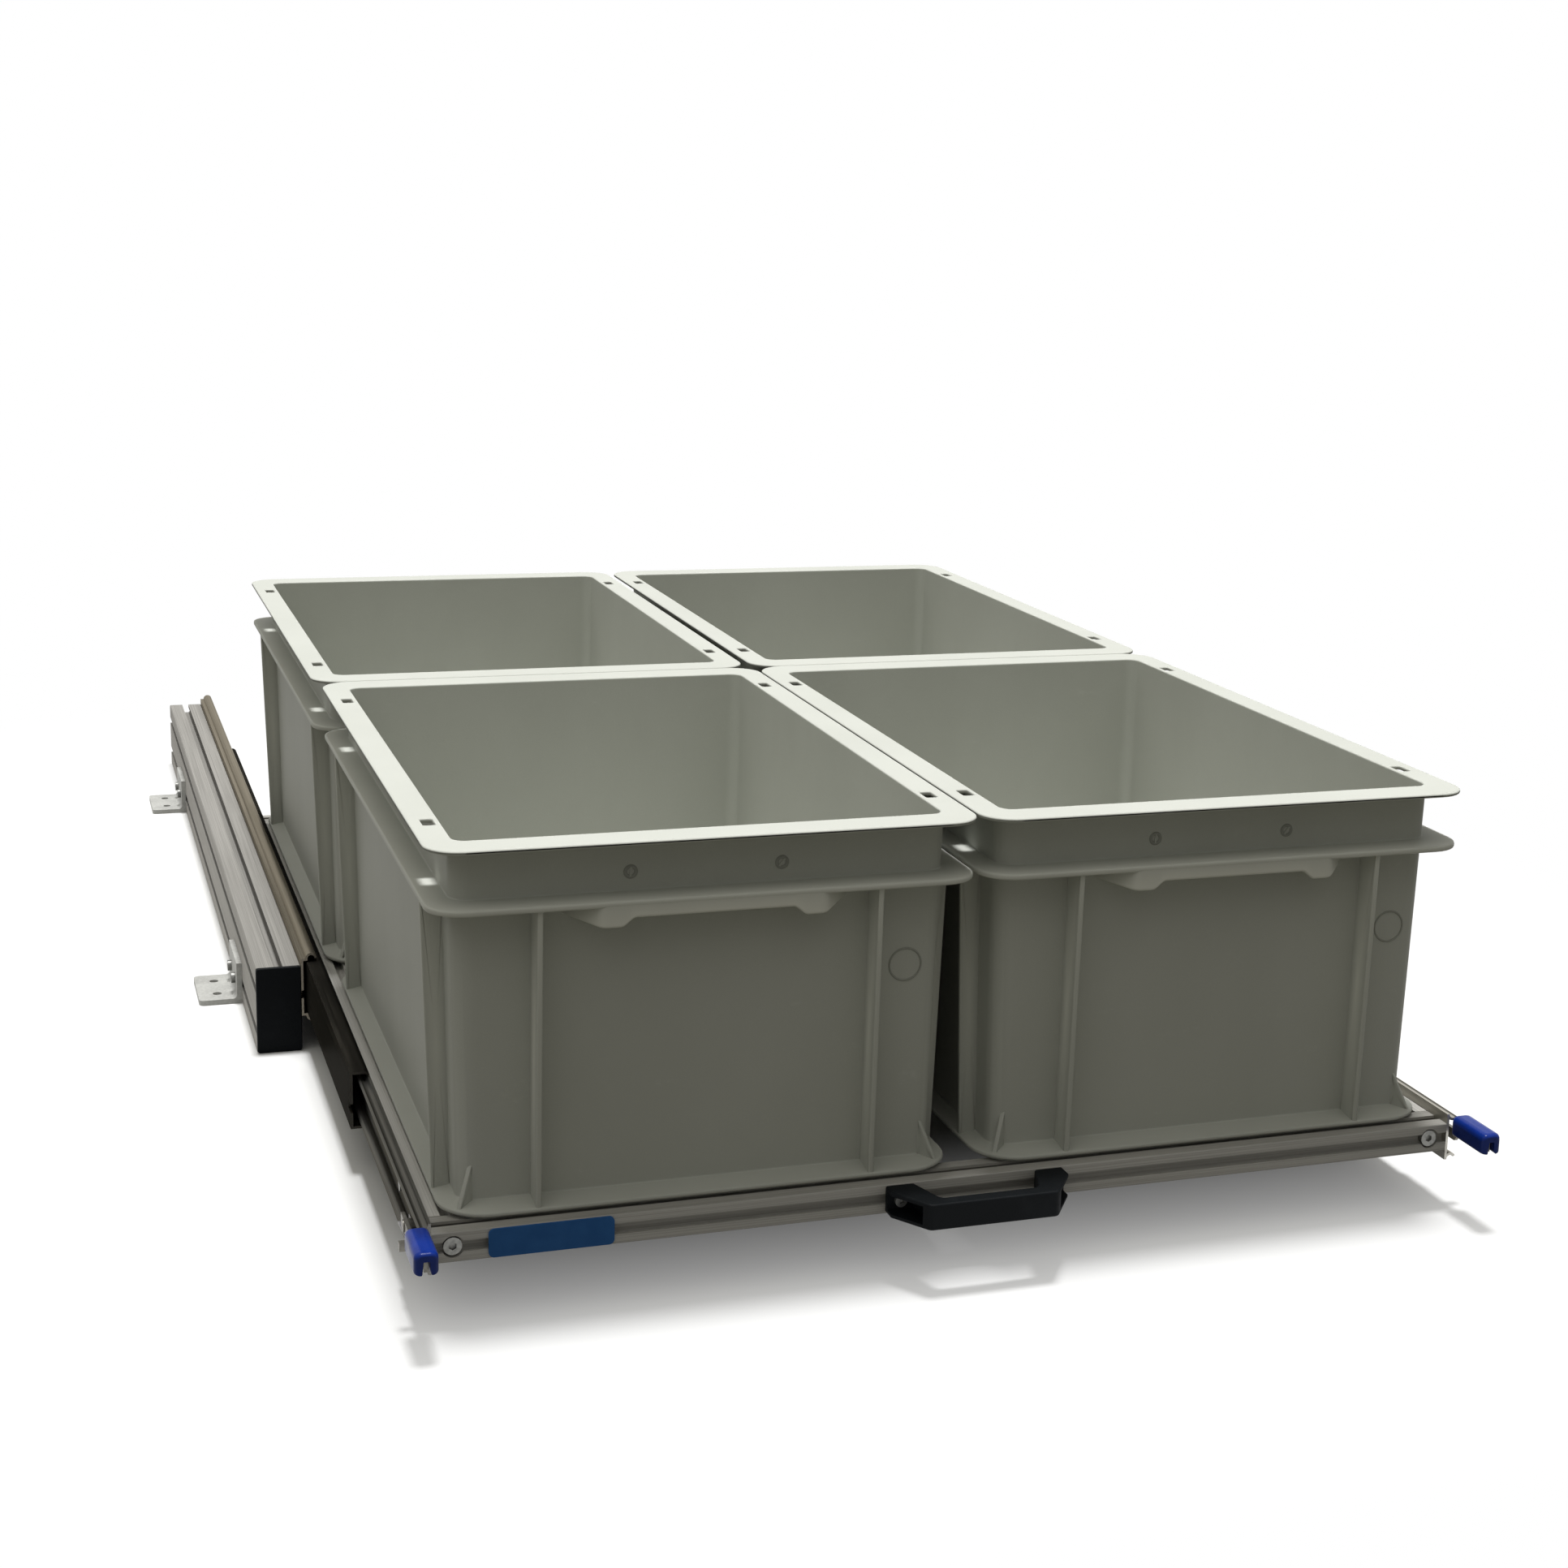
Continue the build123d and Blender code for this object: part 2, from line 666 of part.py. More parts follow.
def pull_handle():
    """Bridge handle: flared legs, open pockets at both ends, a straight grip bar."""
    half = handle_length / 2
    bar_half = handle_bar_length / 2
    gap_half = half - handle_foot_length
    gap_front = handle_bar - handle_reach
    gap_bar_half = bar_half - handle_bar
    outline = Polygon(
        (-half, 0), (-half, -handle_shoulder), (-bar_half, -handle_reach),
        (bar_half, -handle_reach), (half, -handle_shoulder), (half, 0),
    )
    gap = Polygon(
        (-gap_half, overlap), (-gap_bar_half, gap_front), (gap_bar_half, gap_front), (gap_half, overlap)
    )
    gap = fillet(gap.vertices().group_by(Axis.Y)[0], handle_corner)
    low_z = slide_centre_z - handle_height / 2
    handle = extrude(Pos(0, drawer_front_y, low_z) * outline, handle_height)
    handle = fillet(handle.edges().filter_by(Axis.Z).group_by(Axis.Y)[0], handle_corner)
    handle -= extrude(Pos(0, drawer_front_y, low_z - overlap) * gap, handle_height + 2 * overlap)
    rims = handle.faces().filter_by(Axis.Z).edges()
    handle = fillet([edge for edge in rims if edge.center().Y < drawer_front_y - overlap], handle_edge)
    lean = math.atan2(gap_half - gap_bar_half, -gap_front)
    wall_shift = handle_wall / math.cos(lean)
    pocket_front = gap_front - handle_bar / 2
    inner_back = gap_half + wall_shift - handle_foot_thickness * math.tan(lean)
    inner_front = gap_half + wall_shift + pocket_front * math.tan(lean)
    pocket = Polygon(
        (-handle_length, -handle_foot_thickness), (-handle_length, pocket_front),
        (-inner_front, pocket_front), (-inner_back, -handle_foot_thickness),
    )
    pocket = extrude(Pos(0, drawer_front_y, low_z + handle_wall) * pocket, handle_height - 2 * handle_wall)
    handle -= pocket
    handle -= mirror(pocket, about=Plane.YZ)
    for x in (-handle_hole_spacing / 2, handle_hole_spacing / 2):
        start = (x, drawer_front_y + overlap, slide_centre_z)
        handle -= peg(start, (0, -1, 0), handle_screw_hole, handle_foot_thickness + 2 * overlap)
    return handle


def handle_fasteners():
    """Two screws through the handle's feet and their nuts in the front slot."""
    screws = []
    nuts = []
    section = nut_section(*frame_slot)
    size = (handle_screw, handle_screw_head, handle_screw_head_height)
    reach = handle_foot_thickness + frame_slot_depth - 2 * nut_clearance
    for x in (-handle_hole_spacing / 2, handle_hole_spacing / 2):
        seat = (x, drawer_front_y - handle_foot_thickness, slide_centre_z)
        screws.append(screw(seat, (0, -1, 0), *size, reach, socket=True))
        place = (x, drawer_front_y, slide_centre_z)
        nuts.append(slot_nut(section, place, (1, 0, 0), (0, -1, 0), handle_screw + 2 * peg_clearance))
    return screws, nuts


def front_plate():
    """Bare blue plate stuck over the slot of the front bar."""
    middle_x = plate_end_distance + plate_length / 2 - frame_half
    face = Pos(middle_x, slide_centre_z) * RectangleRounded(plate_length, plate_height, plate_corner)
    return bar_along_y(face, drawer_front_y - plate_thickness, plate_thickness)


# Stacking bin, standing on its own foot at Z = 0


def stacking_bin():
    """Moulded bin: leaning walls, rim, second flange, ribs, corner fins, grips, skirt and foot."""
    slope = math.tan(math.radians(wall_lean))
    half_width = bin_width / 2
    half_length = bin_length / 2
    lean = slope * bin_height
    side_inset = rim_width - bin_wall
    end_inset = end_rim_width - bin_wall
    base_width = bin_width - 2 * (side_inset + lean)
    base_length = bin_length - 2 * (end_inset + lean)
    base = RectangleRounded(base_width, base_length, wall_corner)
    mouth = RectangleRounded(bin_width - 2 * side_inset, bin_length - 2 * end_inset, wall_corner)
    body = loft([base, Pos(0, 0, bin_height) * mouth], ruled=True)

    foot_corner = skirt_corner + skirt_inset - foot_inset
    foot_size = (bin_width - 2 * foot_inset, bin_length - 2 * foot_inset, foot_corner)
    body += plate(*foot_size, 0, skirt_lift + skirt_edge / 2)
    skirt_top = skirt_lift + skirt_edge
    skirt_face = RectangleRounded(bin_width - 2 * skirt_inset, bin_length - 2 * skirt_inset, skirt_corner)
    body += extrude(Pos(0, 0, skirt_lift) * skirt_face, skirt_edge)
    body += loft([Pos(0, 0, skirt_top) * skirt_face, Pos(0, 0, skirt_top + skirt_rise) * base], ruled=True)
    flange_top = bin_height - collar_height
    flange_low = flange_top - flange_thickness
    flange_size = (bin_width - 2 * flange_inset, bin_length - 2 * flange_inset, rim_corner)
    body += plate(*flange_size, flange_low, flange_thickness)
    body += plate(bin_width, bin_length, rim_corner, bin_height - rim_thickness, rim_thickness)

    side_root = rim_width + lean - bin_wall / 2
    end_root = end_rim_width + lean - bin_wall / 2
    for reach, root, places, across in (
        (half_length, end_root, end_rib_x, Plane.YZ),
        (half_width, side_root, side_rib_y, Plane.XZ),
    ):
        outline = Polygon(
            (skirt_inset - reach + overlap, skirt_lift), (root - reach, skirt_lift),
            (root - reach, flange_low), (rib_edge_inset - reach, flange_low),
        )
        rib = extrude(across * outline, rib_thickness / 2, both=True)
        move = Pos(places, 0, 0) if across is Plane.YZ else Pos(0, places, 0)
        pair = (move * rib) + mirror(move * rib, about=Plane.YZ if across is Plane.YZ else Plane.XZ)
        body += pair
        body += mirror(pair, about=Plane.XZ if across is Plane.YZ else Plane.YZ)

    skirt_centre = skirt_inset + skirt_corner
    side_step = skirt_centre - side_inset - lean - wall_corner
    end_step = skirt_centre - end_inset - lean - wall_corner
    fin_offset = (side_step - end_step) / math.sqrt(2)
    fin_root = (side_step + end_step) / math.sqrt(2) + math.sqrt(wall_corner**2 - fin_offset**2)
    fin_outline = Polygon(
        (fin_root - bin_wall, skirt_lift), (skirt_corner - overlap, skirt_lift),
        (fin_root, fin_height), (fin_root - bin_wall, fin_height),
    )
    for x_sign in (1, -1):
        for y_sign in (1, -1):
            outward = Vector(x_sign, y_sign, 0)
            place = (x_sign * (half_width - skirt_centre), y_sign * (half_length - skirt_centre), 0)
            stand = Plane(origin=place, x_dir=outward, z_dir=outward.cross(Vector(0, 0, 1)))
            body += extrude(stand * fin_outline, fin_thickness / 2, both=True)

    half_grip = grip_width / 2
    ear = flange_low - grip_ear_drop
    bar = flange_low - grip_drop
    ear_end = half_grip - grip_ear_width
    slope_end = ear_end - grip_ear_slope
    lip = Polygon(
        (-half_grip, flange_low), (-half_grip, ear), (-ear_end, ear), (-slope_end, bar),
        (slope_end, bar), (ear_end, ear), (half_grip, ear), (half_grip, flange_low),
    )
    lip_front = flange_inset - half_length
    grip = bar_along_y(lip, lip_front, grip_lip)
    wing = Polygon(
        (-half_grip, lip_front), (grip_lip - half_grip, lip_front),
        (grip_lip - half_grip - grip_wing_spread, end_root - half_length),
        (-half_grip - grip_wing_spread, end_root - half_length),
    )
    wing = extrude(Pos(0, 0, ear) * wing, grip_ear_drop)
    grip += wing
    grip += mirror(wing, about=Plane.YZ)
    body += grip
    body += mirror(grip, about=Plane.XZ)

    narrowing = 2 * slope * (bin_height - floor_thickness)
    cavity_width = bin_width - 2 * rim_width
    cavity_length = bin_length - 2 * end_rim_width
    cavity_mouth = RectangleRounded(cavity_width, cavity_length, cavity_corner)
    cavity_floor = RectangleRounded(cavity_width - narrowing, cavity_length - narrowing, cavity_corner)
    cavity = [Pos(0, 0, floor_thickness) * cavity_floor, Pos(0, 0, bin_height) * cavity_mouth]
    body -= loft(cavity, ruled=True)

    for x in (rim_hole_edge_distance - half_width, half_width - rim_hole_edge_distance):
        for y in (rim_hole_end_distance - half_length, half_length - rim_hole_end_distance):
            hole = Box(rim_hole_width, rim_hole_length, rim_thickness + 2 * overlap)
            body -= Pos(x, y, bin_height - rim_thickness / 2) * hole
    return body


# Assembly


def collect():
    """Every node of the unit, by name."""
    nodes = {}
    outer_screws, outer_nuts = slide_fasteners(rail_front_y, rail_inner_x, 1, rail_slot)
    inner_screws, inner_nuts = slide_fasteners(drawer_front_y, -frame_half, -1, frame_slot)
    bracket_screws, bracket_nuts = bracket_fasteners()
    middle_y = rail_front_y + slide_length / 2 - retainer_length / 2
    outer_shift = -retainer_offset - retainer_sheet
    outer_strips, outer_balls = ball_retainer(
        outer_ball_depth, outer_ball_height, outer_shift, 1, middle_y - pull_out / 4
    )
    inner_strips, inner_balls = ball_retainer(
        inner_ball_depth, inner_ball_height, retainer_offset, -1, middle_y - 3 * pull_out / 4
    )
    for side, sign in sides.items():
        pieces = {
            "rail_profile": fixed_rail(),
            "rail_end_cap": rail_cap(),
            "outer_slide": outer_slide(),
            "outer_slide_screws": outer_screws,
            "outer_slide_nuts": outer_nuts,
            "bracket_screws": bracket_screws,
            "bracket_nuts": bracket_nuts,
            "middle_slide": middle_slide(),
            "outer_ball_retainer": outer_strips,
            "outer_balls": outer_balls,
            "inner_ball_retainer": inner_strips,
            "inner_balls": inner_balls,
            "inner_slide": inner_slide(),
            "inner_slide_screws": inner_screws,
            "inner_slide_nuts": inner_nuts,
            "frame_side_bar": side_bar(),
            "lever_grip": lever_grip(),
            "lever_strip": lever_strip_plate(),
            "lever_pivot_stud": lever_pivot_stud(),
            "lever_spring": lever_spring(),
        }
        for place, bracket_y in bracket_places.items():
            pieces[f"{place}_bracket"] = floor_bracket(bracket_y)
        for name, piece in pieces.items():
            group = piece if isinstance(piece, list) else [piece]
            nodes[f"{side}_{name}"] = [on_side(solid, sign) for solid in group]

    corner_screws, middle_screws = frame_screws()
    handle_screws, handle_nuts = handle_fasteners()
    rear_bar_y = drawer_rear_y - frame_profile_width
    nodes["frame_front_bar"] = [end_bar(drawer_front_y, drawer_front_y, 1)]
    nodes["frame_rear_bar"] = [end_bar(rear_bar_y, drawer_rear_y, -1)]
    middle_bar_y = drawer_middle_y - cross_profile_width / 2
    middle_bar_x = frame_profile_width - frame_half
    nodes["frame_middle_bar"] = [cross_bar(middle_bar_y, cross_profile_width, middle_bar_x)]
    nodes["frame_corner_screws"] = corner_screws
    nodes["frame_middle_screws"] = middle_screws
    nodes["pull_handle"] = [pull_handle()]
    nodes["handle_screws"] = handle_screws
    nodes["handle_nuts"] = handle_nuts
    nodes["front_plate"] = [front_plate()]

    one_bin = stacking_bin()
    step_x = (bin_width + bin_gap) / 2
    step_y = (bin_length + bin_gap) / 2
    nudge = {"rear_left": -rear_left_nudge}
    for row, y in (("front", drawer_middle_y - step_y), ("rear", drawer_middle_y + step_y)):
        for side, x in (("left", -step_x), ("right", step_x)):
            name = f"{row}_{side}"
            nodes[f"{name}_bin"] = [Pos(x + nudge.get(name, 0), y, frame_top) * one_bin]
    return nodes


os.makedirs("parts", exist_ok=True)
for name, solids in collect().items():
    shape = solids[0] if len(solids) == 1 else Compound(children=[Part() + solid for solid in solids])
    export_step(shape, f"parts/{name}.step")
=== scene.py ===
import bmesh
import bpy
import numpy as np
from mathutils import Matrix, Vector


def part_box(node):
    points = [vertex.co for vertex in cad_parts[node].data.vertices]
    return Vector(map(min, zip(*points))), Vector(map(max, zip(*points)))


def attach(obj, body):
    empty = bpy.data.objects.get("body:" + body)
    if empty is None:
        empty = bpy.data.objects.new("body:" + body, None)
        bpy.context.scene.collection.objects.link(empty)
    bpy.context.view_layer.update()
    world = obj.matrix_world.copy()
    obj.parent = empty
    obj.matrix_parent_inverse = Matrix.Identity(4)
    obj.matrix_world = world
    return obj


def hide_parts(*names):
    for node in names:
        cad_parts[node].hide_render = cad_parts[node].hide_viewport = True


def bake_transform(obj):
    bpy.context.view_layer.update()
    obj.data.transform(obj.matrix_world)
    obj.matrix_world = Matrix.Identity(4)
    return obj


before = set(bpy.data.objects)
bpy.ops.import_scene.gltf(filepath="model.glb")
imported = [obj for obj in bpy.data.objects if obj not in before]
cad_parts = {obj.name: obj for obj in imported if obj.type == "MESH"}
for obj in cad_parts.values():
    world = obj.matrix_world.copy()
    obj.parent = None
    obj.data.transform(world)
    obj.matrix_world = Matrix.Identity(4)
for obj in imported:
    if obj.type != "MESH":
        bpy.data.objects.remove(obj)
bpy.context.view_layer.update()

# Fixed rails: slotted aluminium profile on the floor, one on each side of the drawer. It is
# extruded, drawn straight and natural anodised, so fine lines and dull smears run down its
# whole length.


class Wire:
    """One shader value; a sum written on it adds Math nodes to the finish it belongs to."""

    def __init__(self, finish, socket):
        self.finish = finish
        self.socket = socket

    def maths(self, operation, *values):
        return self.finish.node("Math", {"operation": operation}, dict(enumerate(values)))

    def __add__(self, other):
        return self.maths("ADD", self, other)

    def __sub__(self, other):
        return self.maths("SUBTRACT", self, other)

    def __rsub__(self, other):
        return self.maths("SUBTRACT", other, self)

    def __mul__(self, other):
        return self.maths("MULTIPLY", self, other)

    __radd__ = __add__
    __rmul__ = __mul__


class Finish:
    """A node tree that is being written, one node at a time."""

    def __init__(self, holder):
        holder.use_nodes = True
        self.tree = holder.node_tree
        self.tree.nodes.clear()

    def node(self, kind, settings, sockets, out=0):
        """Adds a node: its settings first, then a value or a link for each socket named."""
        made = self.tree.nodes.new("ShaderNode" + kind)
        for name, value in settings.items():
            setattr(made, name, value)
        for name, value in sockets.items():
            if isinstance(value, Wire):
                self.tree.links.new(value.socket, made.inputs[name])
            else:
                made.inputs[name].default_value = value
        return Wire(self, made.outputs[out]) if made.outputs else None

    def place(self, scale):
        """The piece's own coordinates in metres, stretched by a scale along each axis."""
        here = self.node("TexCoord", {}, {}, out="Object")
        return self.node("Mapping", {}, {"Vector": here, "Scale": scale})

    def cloud(self, scale, detail=3.0, roughness=0.55):
        """Noise about a half, with so many lumps to the metre along each axis."""
        settings = {"Vector": self.place(scale), "Scale": 1.0, "Detail": detail, "Roughness": roughness}
        return self.node("TexNoise", {}, settings)

    def blend(self, mask, low, high):
        """A colour between two others."""
        return self.node("Mix", {"data_type": "RGBA"}, {0: mask, 6: low, 7: high}, out=2)

    def spread(self, value, low, high):
        """A value's part between two limits, stretched smoothly to run from nought to one."""
        sockets = {"Value": value, "From Min": low, "From Max": high}
        return self.node("MapRange", {"interpolation_type": "SMOOTHSTEP"}, sockets)

    def relief(self, height, depth, strength):
        """A surface normal pushed about by a height between nought and one."""
        return self.node("Bump", {}, {"Height": height, "Distance": depth, "Strength": strength})

    def surface(self, sockets):
        """The finish's shader, joined to its output."""
        self.node("OutputMaterial", {}, {"Surface": self.node("BsdfPrincipled", {}, sockets)})


def new_material(name):
    """An empty material and the finish to write into it."""
    material = bpy.data.materials.new(name)
    return material, Finish(material)


def dress(material, *names):
    """Puts a material on CAD nodes."""
    for name in names:
        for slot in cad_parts[name].material_slots:
            slot.material = material


def drawn_aluminium(name, stretch, dark, light, metallic):
    """Anodised profile: streaks long in one direction and hair-thin across it, and faint dull smears
    drawn out the same way."""
    material, finish = new_material(name)
    streak = finish.cloud(stretch, detail=4.0, roughness=0.7)
    smear = finish.cloud([min(lumps, smear_lumps) for lumps in stretch])
    shade = finish.spread(streak * 0.8 + smear * 0.2, 0.28, 0.72)
    finish.surface({
        "Base Color": finish.blend(shade, dark, light),
        "Metallic": metallic,
        "Specular Tint": (0.6, 0.58, 0.55, 1),
        "Roughness": 0.52 + streak * 0.14 + smear * 0.1,
        "Specular IOR Level": 0.15,
        "Normal": finish.relief(streak, 0.00012, 0.6),
    })
    return material


along_y = (1300, 3, 1300)
smear_lumps = 39.0
rail_dark = (0.23, 0.223, 0.207, 1)
rail_light = (0.39, 0.379, 0.353, 1)
rail_aluminium = drawn_aluminium("rail_aluminium", along_y, rail_dark, rail_light, 0.85)
dress(rail_aluminium, "left_rail_profile", "right_rail_profile")

# Rail caps: black moulded covers pushed over the rails' front ends, with pegs in the bores.
# The mould was spark-eroded, so the face has a fine even grain, rubbed smoother in places.


def grained_black(name, colour, worn):
    """Black plastic: pits of a fine grain, rubbed patches that are smoother and a little paler."""
    material, finish = new_material(name)
    grain = finish.cloud((1100, 1100, 1100), detail=2.0)
    wear_and_painted_light = finish.spread(finish.cloud((26, 26, 26), detail=5.0), 0.5, 0.75)
    finish.surface({
        "Base Color": finish.blend(wear_and_painted_light, colour, worn),
        "Roughness": 0.52 + grain * 0.16 - wear_and_painted_light * 0.12,
        "Specular IOR Level": 0.1,
        "Normal": finish.relief(grain, 0.0002, 0.7),
    })
    return material


cap_black = grained_black("cap_black", (0.002, 0.003, 0.004, 1), (0.006, 0.008, 0.010, 1))
dress(cap_black, "left_rail_end_cap", "right_rail_end_cap")

# Floor brackets and fasteners: pressed steel angles, socket screws and slot nuts, all zinc
# plated and passivated. The plating is cloudy, with a fine spangle and dull handling marks.


def zinc_plate(name, dark, light, roughness, metallic):
    """Plated steel: broad clouds and small spangles shift its colour and its gloss."""
    material, finish = new_material(name)
    clouds = finish.cloud((45, 45, 45), detail=4.0)
    cells = {"Vector": finish.place((420, 420, 420)), "Scale": 1.0}
    spangle = finish.node("TexVoronoi", {"feature": "SMOOTH_F1"}, cells)
    shade = finish.spread(clouds * 0.7 + spangle * 0.3, 0.25, 0.7)
    finish.surface({
        "Base Color": finish.blend(shade, dark, light),
        "Metallic": metallic,
        "Roughness": roughness + clouds * 0.18 + spangle * 0.06 - 0.1,
        "Normal": finish.relief(spangle, 0.00015, 0.35),
    })
    return material


sides = ("left", "right")
bracket_zinc = zinc_plate("bracket_zinc", (0.36, 0.36, 0.34, 1), (0.50, 0.50, 0.475, 1), 0.66, 0.6)
dress(bracket_zinc, *(f"{side}_{place}_bracket" for side in sides for place in ("front", "rear")))
fastener_zinc = zinc_plate("fastener_zinc", (0.13, 0.13, 0.122, 1), (0.26, 0.26, 0.245, 1), 0.46, 0.9)
fastened = ("bracket", "outer_slide", "inner_slide")
dress(fastener_zinc, *(f"{side}_{name}_{kind}" for side in sides for name in fastened for kind in ("screws", "nuts")))
dress(fastener_zinc, "frame_corner_screws", "frame_middle_screws", "handle_screws", "handle_nuts")

# Telescopic slides: three members rolled from steel strip on each side, the outer one screwed
# to the rail and the inner one to the drawer. Zinc plated with a yellow cast, streaked along
# the rolling direction and dulled by grease. As painted shade the left middle member is nearly
# black and the left inner one darker; as painted light the right middle and inner ones are paler.


def rolled_strip(name, dark, light, grease, glance):
    """Rolled steel: fine streaks along Y, and a film of grease in long drawn-out smears. The glance
    is its colour seen almost edge-on."""
    material, finish = new_material(name)
    streak = finish.cloud((900, 2.5, 900), detail=4.0, roughness=0.7)
    smear = finish.spread(finish.cloud((120, 5, 120), detail=4.0), 0.5, 0.72)
    plated = finish.blend(finish.spread(streak, 0.3, 0.7), dark, light)
    finish.surface({
        "Base Color": finish.blend(smear * 0.22, plated, grease),
        "Metallic": 1.0,
        "Specular Tint": glance,
        "Roughness": 0.38 + streak * 0.12 + smear * 0.12,
        "Normal": finish.relief(streak, 0.0001, 0.5),
    })
    return material


grease_brown = (0.060, 0.052, 0.040, 1)
pale_glance = (0.60, 0.57, 0.50, 1)
outer_zinc = rolled_strip(
    "outer_slide_zinc", (0.20, 0.18, 0.145, 1), (0.29, 0.262, 0.215, 1), grease_brown, pale_glance
)
dress(outer_zinc, "left_outer_slide", "right_outer_slide")
# Painted shade: the left middle member gets a nearly black copy of the plated finish, dark even edge-on.
painted_shade_glance = (0.08, 0.072, 0.058, 1)
painted_shade_middle_zinc = rolled_strip(
    "painted_shade_middle_slide_zinc", (0.036, 0.034, 0.029, 1), (0.056, 0.053, 0.046, 1), grease_brown, painted_shade_glance
)
dress(painted_shade_middle_zinc, "left_middle_slide")
# Painted shade: the left inner member gets a darker copy of the plated finish.
painted_shade_inner_glance = (0.26, 0.25, 0.225, 1)
painted_shade_inner_zinc = rolled_strip(
    "painted_shade_inner_slide_zinc", (0.125, 0.122, 0.111, 1), (0.20, 0.195, 0.178, 1), grease_brown, painted_shade_inner_glance
)
dress(painted_shade_inner_zinc, "left_inner_slide")
# Painted light: the right middle and inner members get a paler copy of the plated finish.
painted_light_zinc = rolled_strip(
    "painted_light_slide_zinc", (0.43, 0.418, 0.38, 1), (0.53, 0.516, 0.472, 1), grease_brown, pale_glance
)
dress(painted_light_zinc, "right_middle_slide", "right_inner_slide")

# Ball retainers and balls: thin plated strips with a pocket for each ball, above and below
# the web, and polished bearing balls that carry a thin film of oil.

retainer_zinc = rolled_strip(
    "retainer_zinc", (0.36, 0.34, 0.30, 1), (0.50, 0.48, 0.43, 1), grease_brown, pale_glance
)
dress(retainer_zinc, *(f"{side}_{name}_ball_retainer" for side in sides for name in ("outer", "inner")))
ball_polish = zinc_plate("ball_polish", (0.58, 0.58, 0.58, 1), (0.72, 0.72, 0.72, 1), 0.12, 1.0)
dress(ball_polish, *(f"{side}_{name}_balls" for side in sides for name in ("outer", "inner")))

# Drawer frame: flat slotted aluminium profile, a bar on each side, one at each end and a double
# one across the middle, drawn and anodised as the rails are. The side bars are given a brighter
# copy of the finish as painted light. Socket screws hold the corners.

along_x = (3, 1300, 1300)
# Painted light: the side bars' colours are paler than the cross bars', so they read as lit.
painted_light_side_dark = (0.44, 0.43, 0.405, 1)
painted_light_side_light = (0.68, 0.665, 0.63, 1)
side_painted_light_aluminium = drawn_aluminium("side_bar_painted_light_aluminium", along_y, painted_light_side_dark, painted_light_side_light, 0.15)
dress(side_painted_light_aluminium, "left_frame_side_bar", "right_frame_side_bar")
cross_dark = (0.27, 0.262, 0.241, 1)
cross_light = (0.45, 0.437, 0.408, 1)
cross_aluminium = drawn_aluminium("cross_bar_aluminium", along_x, cross_dark, cross_light, 0.2)
dress(cross_aluminium, "frame_front_bar", "frame_middle_bar", "frame_rear_bar")

# Release levers: a steel strip on a stud in the inner slide, lifted by a leaf spring whose foot is
# on the slide and whose tip bends with the strip. A glossy royal-blue grip, moulded with soft
# edges, is pushed over the strip's front end.

lever_zinc = zinc_plate("lever_zinc", (0.12, 0.115, 0.10, 1), (0.22, 0.21, 0.185, 1), 0.42, 0.9)
dress(lever_zinc, *(f"{side}_{name}" for side in sides for name in ("lever_strip", "lever_pivot_stud")))
spring_grey = rolled_strip(
    "spring_grey", (0.28, 0.28, 0.29, 1), (0.42, 0.42, 0.43, 1), grease_brown, pale_glance
)


def moulded_blue(name, deep, bright, gloss, coat):
    """Blue plastic: slow flow marks in the colour, a faint orange peel, smoother and duller spots."""
    material, finish = new_material(name)
    flow = finish.cloud((60, 25, 60), detail=4.0)
    peel = finish.cloud((520, 520, 520), detail=1.5)
    scuff = finish.spread(finish.cloud((150, 150, 150), detail=6.0, roughness=0.7), 0.56, 0.74)
    finish.surface({
        "Base Color": finish.blend(finish.spread(flow, 0.3, 0.7), deep, bright),
        "Roughness": gloss + scuff * 0.2 + peel * 0.05,
        "Specular IOR Level": 0.1,
        "Coat Weight": coat,
        "Coat Roughness": 0.12,
        "Normal": finish.relief(peel, 0.0002, 0.25),
    })
    return material


def soften(line, cut, hold=0.0006, steps=4, closed=False):
    """Rounds a line of points. Each corner becomes a parabola that leaves both sides a cut away
    from it, with one more point held a little further out on each side. Where the cut is nought
    the point stays. The first two columns are the plane; further columns change evenly along."""
    spread = np.concatenate([line[-1:], line, line[:1]]) if closed else line
    corner = spread[1:-1]
    cut = np.broadcast_to(cut, len(corner))[:, None]

    def towards(other):
        return (other - corner) / np.linalg.norm((other - corner)[:, :2], axis=1, keepdims=True)

    start = towards(spread[:-2])
    end = towards(spread[2:])
    reach = (cut + np.where(cut > 0, hold, 0))
    turn = np.linspace(0, 1, steps + 1)[None, :, None]
    bend = corner[:, None] + (1 - turn) ** 2 * (start * cut)[:, None] + turn ** 2 * (end * cut)[:, None]
    held = [(corner + start * reach)[:, None], bend, (corner + end * reach)[:, None]]
    points = np.concatenate(held, axis=1).reshape(-1, line.shape[1])
    if not closed:
        points = np.concatenate([line[:1], points, line[-1:]])
    step = np.linalg.norm(np.diff(points, axis=0), axis=1)
    return points[np.concatenate([[True], step > 1e-7])]


def net(rows, columns, round_rows=False):
    """Four-sided faces of a grid of points whose columns close up, and its rows too if asked."""
    index = np.arange(rows * columns).reshape(rows, columns)
    below = index if round_rows else index[:-1]
    above = np.roll(index, -1, axis=0)[: len(below)]
    return np.stack([below, np.roll(below, -1, axis=1), np.roll(above, -1, axis=1), above], axis=2)


